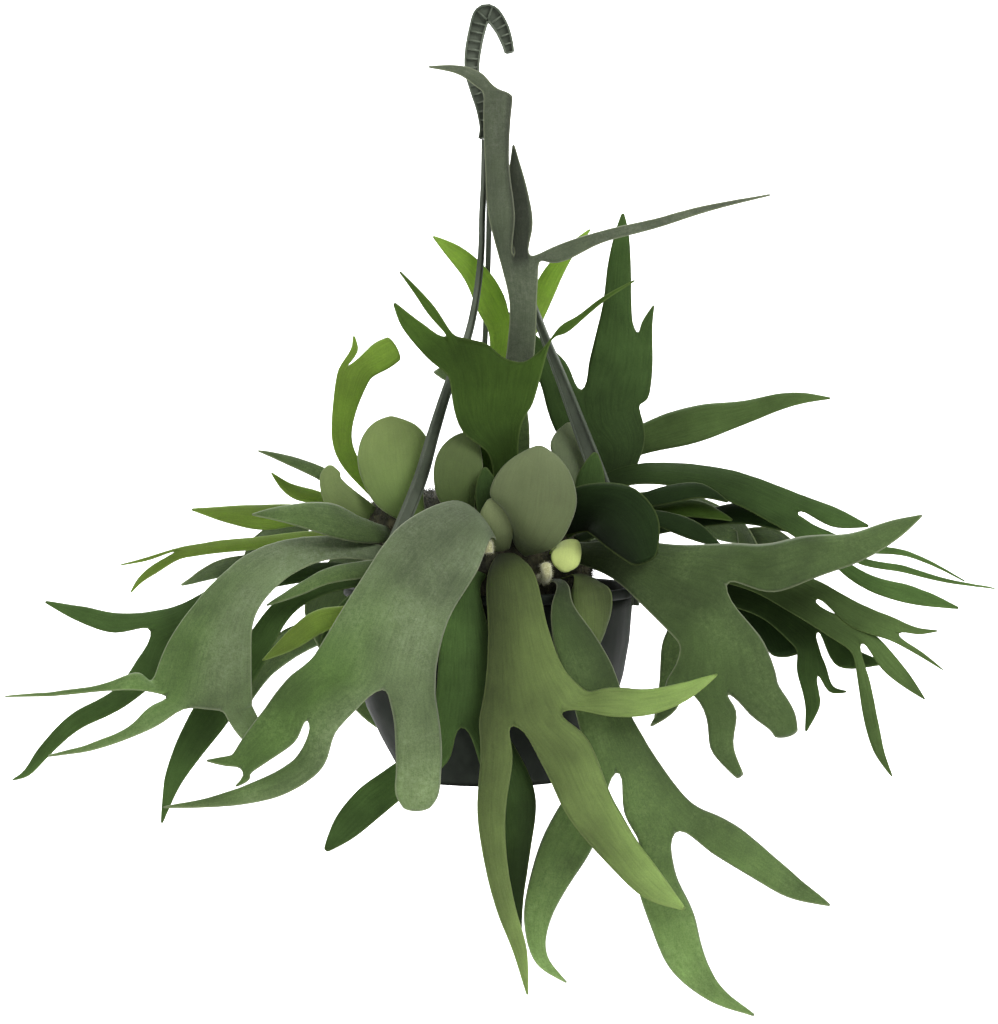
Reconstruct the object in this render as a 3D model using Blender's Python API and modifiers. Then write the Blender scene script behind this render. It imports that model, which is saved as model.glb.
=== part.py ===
"""Staghorn fern growing in a hanging pot: fronds, shields, rhizome, mix, pot and three-strap hanger."""

import math

import bmesh
import bpy
from mathutils import Vector

MM = 0.001
DROP = 323.0            # hook seat above the rim of the pot, mm
GAP = 0.3               # clearance between neighbouring pieces, mm
FROND_THICKNESS = 1.5
SHIELD_THICKNESS = 1.8
FORK_BOW = 0.3          # how far a fork notch sits beyond its row, of the half width
# rim of the centre bowl, (place across, rise): a hump at its left, its lowest point right of the middle
BOWL_RIM = ((-1.0, -0.15), (-0.72, 0.26), (-0.6, 0.26), (-0.1, 0.12), (0.2, -0.22), (0.47, -0.33), (0.75, -0.2),
            (0.88, -0.1), (1.0, 0.04))

RIM_RADIUS = 85.0
WALL = 2.2
POT_HEIGHT = 112.0
BASE_RADIUS = 52.0
MIX_TOP = -12.0
STRAP_ANGLES = {"right": 72.0, "left": -48.0, "back": 186.0}

RHIZOME_CENTRE = (0.0, 0.0, 5.0)
RHIZOME_AXES = (58.0, 52.0, 50.0)
CROWNS = (((-85, 0, 45), 26.0, 0.46), ((11, -58, 19), 6.0, 0.40), ((55, 20, 30), 5.0, 0.5))

# Each lobe is (stations, forks); a station is x, y, z, half width in mm from the middle of the rim.
# Forks run from the left edge to the right edge of the frond seen tip up; a number is a gap.
FRONDS = {
    "frond_front_left": ((0.1, -0.85, 0.5), (
        ((4, -56, 36, 5), (-8, -76, 43, 15), (-27, -98, 29, 25), (-47, -110, 0, 27),
         (-58, -114, -25, 31), (-62, -115, -37, 34)),
        ((((-42, -117, -55, 13), (-39, -120, -76, 13), (-39, -121, -97, 12.5),
           (-40, -121, -108, 12), (-40, -121, -115, 7.5)), ()),
         (((-86, -116, -46, 20), (-99, -117, -58, 21)),
          ((((-99, -120, -86, 8.5), (-114, -120, -97, 8), (-134, -119, -105, 6),
             (-156, -117, -112, 3), (-180, -115, -115, 0.6)), ()),
           (((-114, -118, -70, 15), (-127, -118, -83, 13), (-136, -117, -92, 8)),
            ((((-134, -117, -98, 2.5), (-140, -116, -103, 0.8)), ()),
             (((-144, -117, -89, 3.5), (-156, -116, -89, 0.6)), ()))))))),
    ),
    "frond_front_right": ((0.0, -0.85, 0.5), (
        ((10, -58, 24, 5), (12, -92, 10, 14), (16, -101, -20, 17), (20, -104, -45, 23), (24, -107, -59, 31)),
        ((((66, -107, -57, 9), (88, -108, -57, 8), (111, -107, -50, 5), (126, -105, -42, 0.8)), ()),
         (((41, -111, -83, 15), (55, -114, -113, 14), (74, -115, -140, 11), (93, -114, -161, 8),
           (108, -111, -172, 1.2)), ()),
         (((4, -110, -86, 9), (1, -114, -116, 8), (3, -115, -143, 6.5), (9, -113, -171, 5.5),
           (17, -109, -196, 4), (21, -105, -221, 0.6)), ())),
    )),
    "frond_front_shadow": ((0.0, -0.9, 0.4), (
        ((-6, -62, 12, 4), (-13, -87, 3, 8), (-13, -92, -30, 15), (-13, -94, -56, 17), (-14, -95, -66, 18)),
        ((((4, -98, -87, 11), (13, -102, -112, 13), (14, -104, -139, 9), (13, -104, -167, 6),
           (17, -102, -193, 0.8)), ()),
         (((-28, -96, -84, 9), (-47, -98, -99, 9), (-69, -100, -116, 10), (-83, -100, -131, 7),
           (-91, -99, -141, 1.5)), ())),
    )),
    "frond_low_right": ((0.1, -0.9, 0.4), (
        ((36, -50, 6, 3), (41, -83, 3.5, 4), (40, -91, -4, 6), (47, -93, -24, 12), (55, -94, -41, 14),
         (64, -95, -68, 15), (72, -95, -90, 19)),
        ((((89, -95, -112, 17), (99, -96, -126, 19)),
          ((((129, -96, -134, 11), (152, -97, -150, 9), (169, -96, -162, 7), (190, -92, -173, 0.8)), ()),
           (((92, -97, -151, 11), (102, -98, -180, 13), (111, -98, -204, 11), (125, -96, -221, 6),
             (148, -92, -235, 0.8)), ()))),
         (((55, -95, -112, 11), (45, -95, -134, 14), (33, -95, -159, 11), (26, -95, -184, 7),
           (29, -92, -204, 4), (43, -89, -217, 0.6)), ())),
    )),
    "frond_right_big": ((-0.1, -0.9, 0.45), (
        ((54, -36, 27, 5), (76, -54, 18, 13), (98, -68, 10, 22), (120, -76, 2, 33)),
        ((((154, -76, 15, 15), (182, -72, 22, 13), (208, -66, 27, 9), (229, -58, 36, 6), (245, -50, 43, 0.8)), ()),
         (((128, -86, -30, 25), (129, -89, -45, 31)),
          ((((153, -90, -58, 12), (164, -89, -70, 9), (166, -87, -78, 7)), ()),
           (((130, -92, -66, 9), (129, -92, -83, 7), (140, -89, -101, 2.5)), ()),
           (((101, -89, -61, 5), (90, -86, -73, 0.8)), ())))),
    )),
    "frond_right_outer": ((-0.1, -0.85, 0.5), (
        ((52, -14, 24, 4), (88, -20, 20, 7), (120, -24, 15, 9), (154, -30, 8, 11), (182, -36, -5, 13)),
        ((((208, -38, -14, 8), (231, -38, -23, 7)),
          ((((244, -36, -24, 2.5), (256, -34, -24, 0.6)), ()),
           (((248, -38, -38, 1.6), (259, -38, -46, 0.5)), ()))),
         (((210, -41, -27, 9),),
          ((((228, -41, -42, 6), (239, -40, -53, 4), (249, -37, -63, 0.6)), ()),
           (((213, -43, -51, 3.5), (218, -43, -77, 4), (223, -41, -94, 3), (230, -39, -107, 0.6)), ())))),
    )),
    "frond_right_low": ((-0.1, -0.85, 0.5), (
        ((54, -2, 14, 4), (92, -6, 8, 7), (128, -12, 0, 9), (160, -16, -8, 11), (184, -20, -24, 14)),
        ((((204, -22, -40, 8), (227, -20, -44, 1)), ()),
         (((185, -24, -47, 9),),
          ((((196, -24, -59, 2.5), (205, -23, -60, 0.8)), ()),
           (((186, -25, -65, 5), (182, -22, -83, 0.8)), ())))),
    )),
    "frond_right_hollow": ((0.1, -0.9, 0.3), (
        ((50, 18, 14, 4), (92, 10, 14, 8), (128, 4, 8, 12), (156, 0, -6, 17), (170, -4, -24, 18),
         (172, -6, -40, 9)), ()),
    ),
    "frond_right_arch": ((-0.1, -0.8, 0.6), (
        ((46, 0, 50, 4), (80, -3, 64, 7), (115, -6, 64, 9), (144, -10, 57, 11), (173, -14, 44, 13)),
        ((((199, -16, 40, 7), (218, -16, 35, 1)), ()),
         (((193, -18, 26, 8),),
          ((((212, -18, 23, 3), (238, -17, 20, 2.2), (256, -16, 13, 1.4), (274, -14, 3, 0.5)), ()),
           (((211, -20, 16, 2.5), (236, -20, 11, 2.5), (262, -19, 4, 1.6), (291, -17, -1, 0.5)), ()),
           (((214, -21, 5, 5), (246, -21, -5, 6), (270, -18, -12, 1)), ())))),
    )),
    "frond_right_upper": ((0.0, -0.9, 0.45), (
        ((40, 24, 46, 4), (64, 28, 70, 6), (88, 29, 83, 9), (117, 30, 92, 12), (150, 28, 100, 7.5),
         (181, 24, 108, 4), (199, 22, 108, 0.8)), ()),
    ),
    "frond_right_tall": ((0.1, -1.0, 0.1), (
        ((44, 4, 44, 4), (71, 6, 64, 11), (73, 8, 82, 19), (64, 8.5, 93, 25), (63, 9, 104, 30)),
        ((((38, 12, 122, 10), (25, 15, 137, 7.5), (16, 16, 149, 4), (10, 16, 158, 0.8)), ()),
         (((76, 11, 126, 19), (78, 11, 142, 17)),
          ((((74, 10, 162, 8.5), (75, 9, 184, 7), (76.5, 7, 204, 4.2), (77, 6, 215, 1)), ()),
           (((91, 9, 151, 3.5), (95, 7, 162, 0.6)), ())))),
    )),
    "frond_centre_tall": ((0.0, -1.0, 0.1), (
        ((0, -20, 58, 4), (5, -23, 80, 6), (12, -24, 105, 8), (18, -22, 139, 8), (19, -20, 165, 8),
         (17, -18, 187, 11)),
        ((((7, -17, 211, 7.5), (4, -16, 246, 7), (4, -15, 270, 8), (5, -15, 283, 8.5)),
          ((((-6, -15, 291, 4.5), (-16, -14, 296.5, 3), (-35, -13, 298.5, 0.6)), ()),
           5.0)),
         (((16.5, -12.5, 208, 8.5), (15.5, -11, 229, 6), (13.5, -11, 254, 0.8)), ()),
         (((34, -20, 190, 4.5), (63, -24, 201, 3.5), (92, -26, 208, 3), (123, -26, 217, 2),
           (160, -24, 225, 0.6)), ())),
    )),
    "frond_centre_light": ((0.0, -1.0, 0.05), (
        ((4, 6, 56, 4), (6, 3, 84, 6), (7, 3, 108, 7), (9, 4, 132, 9), (12, 4, 144, 13)),
        ((((2, 4, 160, 9), (-9, 5, 181, 7), (-21, 6, 193, 5), (-33, 8, 202, 0.8)), ()),
         (((29, 5, 165, 6.5), (38, 5, 183, 5.5), (48, 6, 196, 3), (58, 8, 206, 0.8)), ())),
    )),
    "frond_centre_bowl": ((0.0, -1.0, 0.1), (
        ((9, -34, 50, 5), (9, -38, 68, 7.5), (7, -44.5, 83, 9.5), (1.5, -46, 94, 18), (1.5, -47, 107, 23),
         (3, -47.5, 122, 26), (1, -48, 138, 34)),
        ((((-40, -50, 146, 6), (-47, -50, 153, 4.5), (-54, -49, 163, 1)), ()),
         (((-33, -49, 159, 3), (-41.5, -48, 170, 1.8), (-51, -46, 181, 0.6)), ()),
         30.0,
         (((41, -50, 148, 3), (50, -50, 154, 1.8), (62, -48, 164, 1.5), (82, -45, 176, 0.6)), ())),
    )),
    "frond_left_back": ((0.1, -1.0, 0.1), (
        ((-80, 14, 58, 3), (-87, 26, 83, 6), (-85, 30, 104, 7.5), (-80, 30, 122, 10)),
        ((((-79, 30, 136, 2.5), (-80, 30, 144, 0.8)), ()),
         (((-65, 30, 132, 9), (-56, 30, 137, 8)), ())),
    )),
    "frond_left_thin": ((0.0, -0.8, 0.6), (
        ((-88, -3, 51, 2.5), (-99, -8, 66, 4.5), (-116, -9, 73, 3.5), (-134, -9, 78, 0.6)), ()),
    ),
    "frond_left_small": ((0.0, -0.8, 0.6), (
        ((-90, 2, 50, 3), (-102, 4, 51, 4.5), (-111, 5, 53, 5), (-119, 5, 57, 3.5), (-127, 5, 65, 0.6)), ()),
    ),
    "frond_left_light": ((0.0, -0.85, 0.55), (
        ((-68, 16, 26, 3), (-90, 16, 36, 6), (-111, 14, 40, 7), (-133, 12, 39, 9), (-149, 12, 40, 6.5),
         (-174, 12, 43, 0.8)), ()),
    ),
    "frond_left_broad": ((0.0, -0.85, 0.55), (
        ((-54, -24, 30, 5), (-72, -42, 35, 10), (-88, -59, 41, 11.5), (-113, -64, 45, 6.5),
         (-134, -62, 44, 0.6)), ()),
    ),
    "frond_left_forked": ((0.0, -0.8, 0.6), (
        ((-59, -8, 20, 3), (-95, -6, 28, 4.5), (-132, -4, 25, 4.5), (-154, -4, 23, 4.5), (-180, -5, 19, 4)),
        ((((-194, -5, 10, 3.5), (-203, -5, 3, 2), (-208, -5, -4, 0.6)), ()),
         (((-197, -6, 16, 1.5), (-214, -6, 12, 0.6)), ())),
    )),
    "frond_left_big": ((-0.1, -0.85, 0.5), (
        ((-50, -36, 18, 4), (-94, -53, 25, 8), (-123, -62, 17, 13), (-146, -72, -5, 17),
         (-157, -78, -31, 25), (-162, -80, -55, 30)),
        ((((-140, -81, -66, 8), (-132, -84, -79, 6.5), (-126, -85, -88, 2)), ()),
         9.0,
         (((-186, -82, -66, 7), (-202, -82, -77, 3.5), (-222, -80, -85, 2.5), (-248, -76, -91, 0.8)), ()),
         (((-196, -80, -48, 6), (-215, -78, -52, 2.5), (-244, -74, -56, 1.6), (-273, -70, -58, 0.6)), ())),
    )),
    "frond_left_dark": ((-0.1, -0.85, 0.5), (
        ((-56, -20, 10, 3.5), (-100, -29, 10, 6), (-143, -36, 2, 8), (-171, -40, -16, 11), (-188, -42, -23, 14)),
        ((((-194, -43, -43, 9), (-212, -44, -62, 6.5), (-238, -44, -76, 5.5), (-257, -43, -95, 4),
           (-265, -42, -105, 2.5), (-273, -40, -109, 0.6)), ()),
         (((-213, -41, -19, 6.5), (-233, -39, -14, 5), (-254, -36, -7, 1)), ())),
    )),
    "frond_left_under": ((0.0, -0.9, 0.4), (
        ((-54, -26, 1, 3), (-80, -42, 6, 5), (-113, -52, -6, 6), (-138, -58, -41, 9), (-158, -62, -69, 11),
         (-170, -63, -88, 8.5), (-180, -62, -108, 5), (-186, -60, -131, 0.8)), ()),
    ),
    "frond_left_strap": ((0.0, -0.8, 0.6), (
        ((-32, -52, 14, 3), (-52, -70, 16, 5), (-70, -73, 14, 6), (-89, -71, 11, 5.5), (-108, -68, 2, 4),
         (-126, -64, -7, 0.8)), ()),
    ),
    "frond_left_young": ((0.0, -0.9, 0.4), (
        ((-26, -56, 14, 4), (-50, -84, 4, 4), (-72, -92, -8, 5), (-96, -92, -14, 7), (-111, -91, -25, 5.5),
         (-127, -88, -36, 0.6)), ()),
    ),
    "frond_left_inner": ((0.1, -0.9, 0.3), (
        ((-30, -56, 5, 3), (-52, -77, 6, 5), (-78, -84, -11, 9), (-88, -84, -33, 8), (-84, -82, -56, 1)), ()),
    ),
    "frond_right_wavy": ((0.3, -0.9, 0.2), (
        ((45, -39, 6, 3), (54, -68, 8, 7), (57, -80, 0, 11), (58, -81, -12, 11), (58, -80, -24, 6.5),
         (56, -78, -38, 0.8)), ()),
    ),
    "frond_right_fold": ((0.2, -0.9, 0.3), (
        ((42, -36, 38, 4), (54, -54, 47, 14), (68, -66, 46, 19), (80, -72, 34, 18), (87, -75, 19, 8)), ()),
    ),
    "frond_back_centre": ((0.0, 0.85, 0.5), (
        ((4, 50, 24, 5), (6, 82, 22, 12), (8, 104, -4, 17), (8, 110, -36, 22)),
        ((((30, 112, -66, 12), (40, 110, -96, 8), (42, 106, -116, 1)), ()),
         (((-16, 112, -68, 13), (-26, 110, -94, 9), (-22, 106, -118, 1)), ())),
    )),
    "frond_back_left": ((-0.3, 0.8, 0.5), (
        ((-34, 40, 24, 5), (-62, 74, 26, 12), (-84, 94, 4, 17), (-96, 100, -24, 21)),
        ((((-88, 102, -54, 11), (-72, 98, -84, 7), (-58, 94, -100, 1)), ()),
         (((-122, 98, -42, 12), (-142, 92, -62, 8), (-150, 86, -84, 1)), ())),
    )),
    "frond_back_right": ((0.3, 0.8, 0.5), (
        ((36, 38, 24, 5), (66, 70, 26, 12), (92, 88, 8, 17), (112, 94, -14, 21)),
        ((((142, 90, -22, 12), (168, 82, -22, 8), (186, 74, -14, 1)), ()),
         (((116, 98, -44, 12), (110, 98, -70, 8), (100, 94, -88, 1)), ())),
    )),
    "frond_back_upper": ((0.0, 0.9, -0.3), (
        ((8, 34, 44, 5), (12, 52, 70, 11), (8, 66, 94, 15), (0, 78, 112, 18)),
        ((((-22, 88, 122, 8), (-34, 98, 122, 1)), ()),
         (((14, 92, 128, 9), (22, 108, 132, 1)), ())),
    )),
    "frond_back_arch_left": ((-0.4, 0.7, 0.6), (
        ((-50, 30, 30, 4), (-82, 56, 44, 9), (-112, 74, 36, 12), (-136, 84, 16, 15)),
        ((((-146, 88, -8, 8), (-150, 88, -32, 1)), ()),
         (((-164, 84, 4, 8), (-186, 80, -6, 1)), ())),
    )),
    "frond_back_arch_right": ((0.4, 0.7, 0.6), (
        ((50, 28, 32, 4), (84, 50, 46, 9), (116, 64, 44, 12), (142, 70, 30, 15)),
        ((((170, 66, 24, 8), (192, 60, 12, 1)), ()),
         (((158, 76, 8, 8), (166, 76, -14, 1)), ())),
    )),
}

SHIELDS = {
    "shield_left": ((-0.1, -1.0, 0.2), 4, -0.25, (
        (-46, -30, 42, 5), (-52, -26, 54, 15), (-55, -22, 70, 21), (-56, -18, 84, 20), (-57, -16, 92, 15),
        (-57, -15, 96.5, 8), (-57, -14.5, 98, 2.5))),
    "shield_centre": ((0.0, -1.0, 0.2), 4, -0.2, (
        (-16, -40, 44, 5), (-19, -42, 57, 12), (-18, -42, 70, 14), (-15, -40, 81, 11), (-12, -38, 87, 6),
        (-11, -37.5, 89.5, 2))),
    "shield_round": ((0.0, -0.9, 0.4), 6, -0.35, (
        (17, -54, 28, 8), (21, -68, 37, 20), (23.5, -74, 50, 24.5), (25.5, -73, 64, 22.5), (27, -70, 74, 16.5),
        (27.5, -67, 79.5, 10), (27.5, -65.5, 82.5, 3.5))),
    "shield_young": ((0.1, -0.9, 0.4), 4, -0.3, (
        (44, -42, 26, 4), (44, -60, 27, 7.5), (43, -69, 21, 8.5), (42, -71, 15.5, 6.5), (41.5, -71, 12.5, 2))),
    "shield_behind": ((0.0, -1.0, 0.1), 4, -0.2, (
        (34, -14, 52, 5), (46, -12, 70, 11), (47, -8, 84, 12), (46, -5, 91, 7), (46, -4, 94, 2))),
    "shield_left_crown": ((0.0, -1.0, 0.3), 4, -0.3, (
        (-84, -14, 50, 5), (-91, -20, 58, 8), (-92, -19, 66, 6), (-92, -18, 70, 2))),
}

CROZIERS = {
    "crozier_upper": ((0, -60, 24), (-1, -69, 28), (-1, -75, 27), (-1, -76, 23)),
    "crozier_lower": ((28, -56, 8), (31, -69, 8), (32, -75, 12), (31, -73, 17)),
}

HOOK_STATIONS = (
    (11.2, 0, -15.5, 2.9), (9.8, 0, -9.5, 3.5), (6.4, 0, -1, 4.4), (0.8, 0, 6.5, 5), (-4.4, 0, 6, 5.2),
    (-7.6, 0, -3.5, 4.9), (-10, 0, -16.5, 4.7), (-10.2, 0, -27, 4.2), (-7.8, 0, -37, 3.8), (-4.2, 0, -48, 3.8),
    (-2, 0, -58, 4.2), (-1, 0, -64, 6))
# Radius from the pot axis, height above the rim, half width.
STRAP_TOP = ((4, 257.6, 1.6), (4.6, 236, 1.5), (6, 214, 1.5))
STRAP_CLIP = ((85.4, 8, 3.4), (87.7, -1, 2.2), (87.7, -10, 2.2))
STRAP_PATHS = {
    "right": ((12, 196, 1.7), (22, 172, 2), (33, 144, 2.6), (44, 118, 3.4), (56, 88, 4.4), (67, 60, 5),
              (78, 30, 4.6)),
    "left": ((7, 190, 1.6), (11, 165, 1.8), (18, 142, 2.2), (31, 118, 2.8), (43, 90, 3.6), (53, 64, 4.2),
             (68, 36, 4.2)),
    "back": ((10, 190, 1.6), (19, 165, 1.8), (29, 142, 2.2), (40, 118, 2.8), (52, 90, 3.6), (64, 62, 4.2),
             (76, 34, 4.2)),
}


def clear_scene():
    for obj in list(bpy.data.objects):
        bpy.data.objects.remove(obj, do_unlink=True)


def new_collection(name):
    collection = bpy.data.collections.new(name)
    bpy.context.scene.collection.children.link(collection)
    return collection


def material(name, colour, roughness, metallic=0.0):
    mat = bpy.data.materials.new(name)
    mat.use_nodes = True
    shader = mat.node_tree.nodes["Principled BSDF"]
    shader.inputs["Base Color"].default_value = (*colour, 1.0)
    shader.inputs["Roughness"].default_value = roughness
    shader.inputs["Metallic"].default_value = metallic
    return mat


def mesh_object(name, verts, faces, mat, collection):
    mesh = bpy.data.meshes.new(name)
    mesh.from_pydata([(x * MM, y * MM, (z - DROP) * MM) for x, y, z in verts], [], faces)
    mesh.update()
    shell = bmesh.new()
    shell.from_mesh(mesh)
    bmesh.ops.recalc_face_normals(shell, faces=shell.faces)
    shell.to_mesh(mesh)
    shell.free()
    obj = bpy.data.objects.new(name, mesh)
    obj.data.materials.append(mat)
    collection.objects.link(obj)
    return obj


def smooth(obj):
    for face in obj.data.polygons:
        face.use_smooth = True


def is_gap(fork):
    return isinstance(fork, float)


def gap_columns(gap):
    return max(1, round(gap / 5.0))


def columns(lobe, leaf_columns):
    forks = lobe[1]
    if not forks:
        return [i / leaf_columns for i in range(leaf_columns + 1)]
    widths = [fork if is_gap(fork) else fork[0][0][3] for fork in forks]
    total = sum(widths)
    marks = [0.0]
    start = 0.0
    for fork, width in zip(forks, widths):
        steps = gap_columns(fork) if is_gap(fork) else 0
        inner = [i / steps for i in range(steps + 1)] if steps else columns(fork, leaf_columns)
        marks += [(start + mark * width) / total for mark in inner[1:]]
        start += width
    return marks


def end_rise(bow, u):
    if not isinstance(bow, tuple):
        return bow * (1.0 - u * u)
    for (u0, r0), (u1, r1) in zip(bow, bow[1:]):
        if u <= u1:
            t = (u - u0) / (u1 - u0)
            return r0 + (r1 - r0) * t * t * (3.0 - 2.0 * t)
    return bow[-1][1]


def row_points(centre, along, face, width, marks, cup, bow):
    side = along.cross(face).normalized()
    normal = side.cross(along).normalized()
    points = []
    for mark in marks:
        u = 2.0 * mark - 1.0
        lift = cup * width * (u * u - 0.4)
        points.append(centre + side * (u * width) + normal * lift + along * (end_rise(bow, u) * width))
    return points


def grow(lobe, face, cup, leaf_columns, base_row, verts, faces, fork_bow=FORK_BOW):
    """Lays the rows of one lobe, then its forks from the last row."""
    stations, forks = lobe
    marks = columns(lobe, leaf_columns)
    centres = [Vector(s[:3]) for s in stations]
    row = base_row
    before = None
    if base_row:
        before = sum((Vector(verts[i]) for i in base_row), Vector()) / len(base_row)
    for index, centre in enumerate(centres):
        back = centres[index - 1] if index else before
        ahead = centres[index + 1] if index + 1 < len(centres) else None
        along = ((ahead or centre) - (back or centre)).normalized()
        last = index + 1 == len(centres)
        bow = fork_bow if last and forks else 0.0
        points = row_points(centre, along, face, stations[index][3], marks, cup, bow)
        new_row = list(range(len(verts), len(verts) + len(points)))
        verts.extend(tuple(p) for p in points)
        if row:
            faces.extend((row[i], row[i + 1], new_row[i + 1], new_row[i]) for i in range(len(marks) - 1))
        row = new_row
    start = 0
    for fork in forks:
        if is_gap(fork):
            start += gap_columns(fork)
            continue
        count = len(columns(fork, leaf_columns)) - 1
        grow(fork, face, cup, leaf_columns, row[start:start + count + 1], verts, faces)
        start += count


def rhizome_radius(direction):
    ax, ay, az = RHIZOME_AXES
    radius = 1.0 / math.sqrt((direction.x / ax) ** 2 + (direction.y / ay) ** 2 + (direction.z / az) ** 2)
    for toward, height, spread in CROWNS:
        angle = direction.angle(Vector(toward))
        radius += height * math.exp(-(angle / spread) ** 2)
    return radius


def seated(lobe, face, thickness, cup, leaf_columns):
    """Moves the first station of a lobe to rest just clear of the rhizome."""
    stations, forks = lobe
    middle = Vector(RHIZOME_CENTRE)
    first = Vector(stations[0][:3])
    direction = (first - middle).normalized()
    width = stations[0][3]
    marks = columns(lobe, leaf_columns)
    along = (Vector(stations[1][:3]) - (middle + direction * rhizome_radius(direction))).normalized()
    side = along.cross(face).normalized()
    normal = side.cross(along).normalized()
    centre = middle + direction * rhizome_radius(direction)
    for _ in range(4):
        low = 1e9
        for point in row_points(centre, along, face, width, marks, cup, 0.0):
            for half in (-0.5, 0.5):
                away = point + normal * (half * thickness) - middle
                low = min(low, away.length - rhizome_radius(away.normalized()))
        centre = centre + direction * (GAP - low)
    base = (centre.x, centre.y, centre.z, width)
    return ((base,) + tuple(stations[1:]), forks)


def blade(name, face, lobe, thickness, cup, leaf_columns, mat, collection, on_rhizome=True, fork_bow=FORK_BOW):
    face = Vector(face).normalized()
    if on_rhizome:
        lobe = seated(lobe, face, thickness, cup, leaf_columns)
    verts = []
    faces = []
    grow(lobe, face, cup, leaf_columns, None, verts, faces, fork_bow)
    obj = mesh_object(name, verts, faces, mat, collection)
    solid = obj.modifiers.new("thickness", "SOLIDIFY")
    solid.thickness = thickness * MM
    solid.offset = 0.0
    smooth(obj)
    return obj


def rhizome(mat, collection):
    around, rings = 48, 26
    middle = Vector(RHIZOME_CENTRE)
    floor = MIX_TOP + GAP
    verts = []
    for ring in range(1, rings):
        polar = math.pi * ring / rings
        for step in range(around):
            turn = 2.0 * math.pi * step / around
            away = Vector((math.sin(polar) * math.cos(turn), math.sin(polar) * math.sin(turn), math.cos(polar)))
            point = middle + away * rhizome_radius(away)
            if point.z < floor + 0.01 * ring:
                shrink = (middle.z - floor) / max(middle.z - point.z, 0.001)
                point = Vector((point.x * shrink, point.y * shrink, floor))
            verts.append(tuple(point))
    flat = [i for i, v in enumerate(verts) if v[2] <= floor + 0.001]
    first_flat = min(flat) // around
    verts = verts[:(first_flat + 1) * around]
    for i in range(first_flat * around, len(verts)):
        verts[i] = (verts[i][0], verts[i][1], floor)
    top = len(verts)
    verts.append((0.0, 0.0, middle.z + rhizome_radius(Vector((0, 0, 1)))))
    faces = [(top, i, (i + 1) % around) for i in range(around)]
    for ring in range(first_flat):
        for step in range(around):
            a = ring * around + step
            b = ring * around + (step + 1) % around
            faces.append((a, a + around, b + around, b))
    faces.append(tuple(range(first_flat * around, (first_flat + 1) * around)))
    obj = mesh_object("rhizome", verts, faces, mat, collection)
    smooth(obj)
    return obj


def turned(name, profile, steps, mat, collection):
    """Turns a closed profile, listed top to bottom on its outer side, about the pot axis."""
    mesh = bpy.data.meshes.new(name)
    edges = [(i, i + 1) for i in range(len(profile) - 1)]
    mesh.from_pydata([(r * MM, 0.0, (z - DROP) * MM) for r, z in profile], edges, [])
    obj = bpy.data.objects.new(name, mesh)
    collection.objects.link(obj)
    screw = obj.modifiers.new("turn", "SCREW")
    screw.steps = steps
    screw.render_steps = steps
    screw.use_merge_vertices = True
    screw.merge_threshold = 0.00005
    screw.use_smooth_shade = True
    obj.data.materials.append(mat)
    smooth(obj)
    return obj


def drill(target, name, radius, spots, cutters):
    for number, (x, y, z, depth) in enumerate(spots):
        bpy.ops.mesh.primitive_cylinder_add(
            vertices=16, radius=radius * MM, depth=depth * MM, location=(x * MM, y * MM, (z - DROP) * MM))
        tool = bpy.context.object
        tool.name = f"{name}_{number}"
        for owner in list(tool.users_collection):
            owner.objects.unlink(tool)
        cutters.objects.link(tool)
        tool.hide_render = True
        tool.display_type = "WIRE"
        cut = target.modifiers.new(tool.name, "BOOLEAN")
        cut.operation = "DIFFERENCE"
        cut.solver = "EXACT"
        cut.object = tool


def pot(mat, collection, cutters):
    outer = [(0.0, -POT_HEIGHT), (48.0, -POT_HEIGHT), (BASE_RADIUS, -109.0), (63.0, -89.0), (72.0, -70.0),
             (77.5, -52.0), (81.0, -32.0), (82.6, -12.0), (83.0, -5.5), (RIM_RADIUS, -5.0), (RIM_RADIUS, -0.6),
             (84.4, 0.0)]
    inner = [(81.2, 0.0), (80.6, -0.6), (80.3, -12.0), (78.8, -32.0), (75.3, -52.0), (69.9, -70.0),
             (61.0, -88.4), (50.4, -106.8), (47.0, -109.0), (0.0, -109.0)]
    obj = turned("pot", (outer + inner)[::-1], 56, mat, collection)
    spots = []
    for number in range(5):
        turn = math.radians(36.0 + 72.0 * number)
        spots.append((34.0 * math.cos(turn), 34.0 * math.sin(turn), -110.5, 12.0))
    drill(obj, "drain_hole", 4.0, spots, cutters)
    return obj


def potting_mix(mat, collection):
    profile = [(0.0, -108.7), (46.8, -108.7), (50.0, -106.4), (60.6, -88.2), (69.5, -69.8), (74.9, -51.8),
               (78.4, -31.9), (79.7, -14.5), (76.0, MIX_TOP), (0.0, MIX_TOP)]
    return turned("potting_mix", profile[::-1], 48, mat, collection)


def ribbon(name, stations, face, thickness, mat, collection):
    obj = blade(name, face, (stations, ()), thickness, 0.0, 1, mat, collection, on_rhizome=False)
    for poly in obj.data.polygons:
        poly.use_smooth = False
    return obj


def hanger_hook(mat, collection):
    stations = tuple((x, y, z + DROP, w) for x, y, z, w in HOOK_STATIONS)
    return ribbon("hanger_hook", stations, (0, -1, 0), 7.0, mat, collection)


def hanger_strap(side, mat, collection):
    turn = math.radians(STRAP_ANGLES[side])
    out = Vector((math.sin(turn), -math.cos(turn), 0.0))
    stations = []
    for radius, height, width in STRAP_TOP + STRAP_PATHS[side] + STRAP_CLIP:
        point = out * radius
        stations.append((point.x, point.y, height, width))
    return ribbon(f"hanger_strap_{side}", tuple(stations), (-out.y, out.x, 0.0), 3.0, mat, collection)


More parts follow.
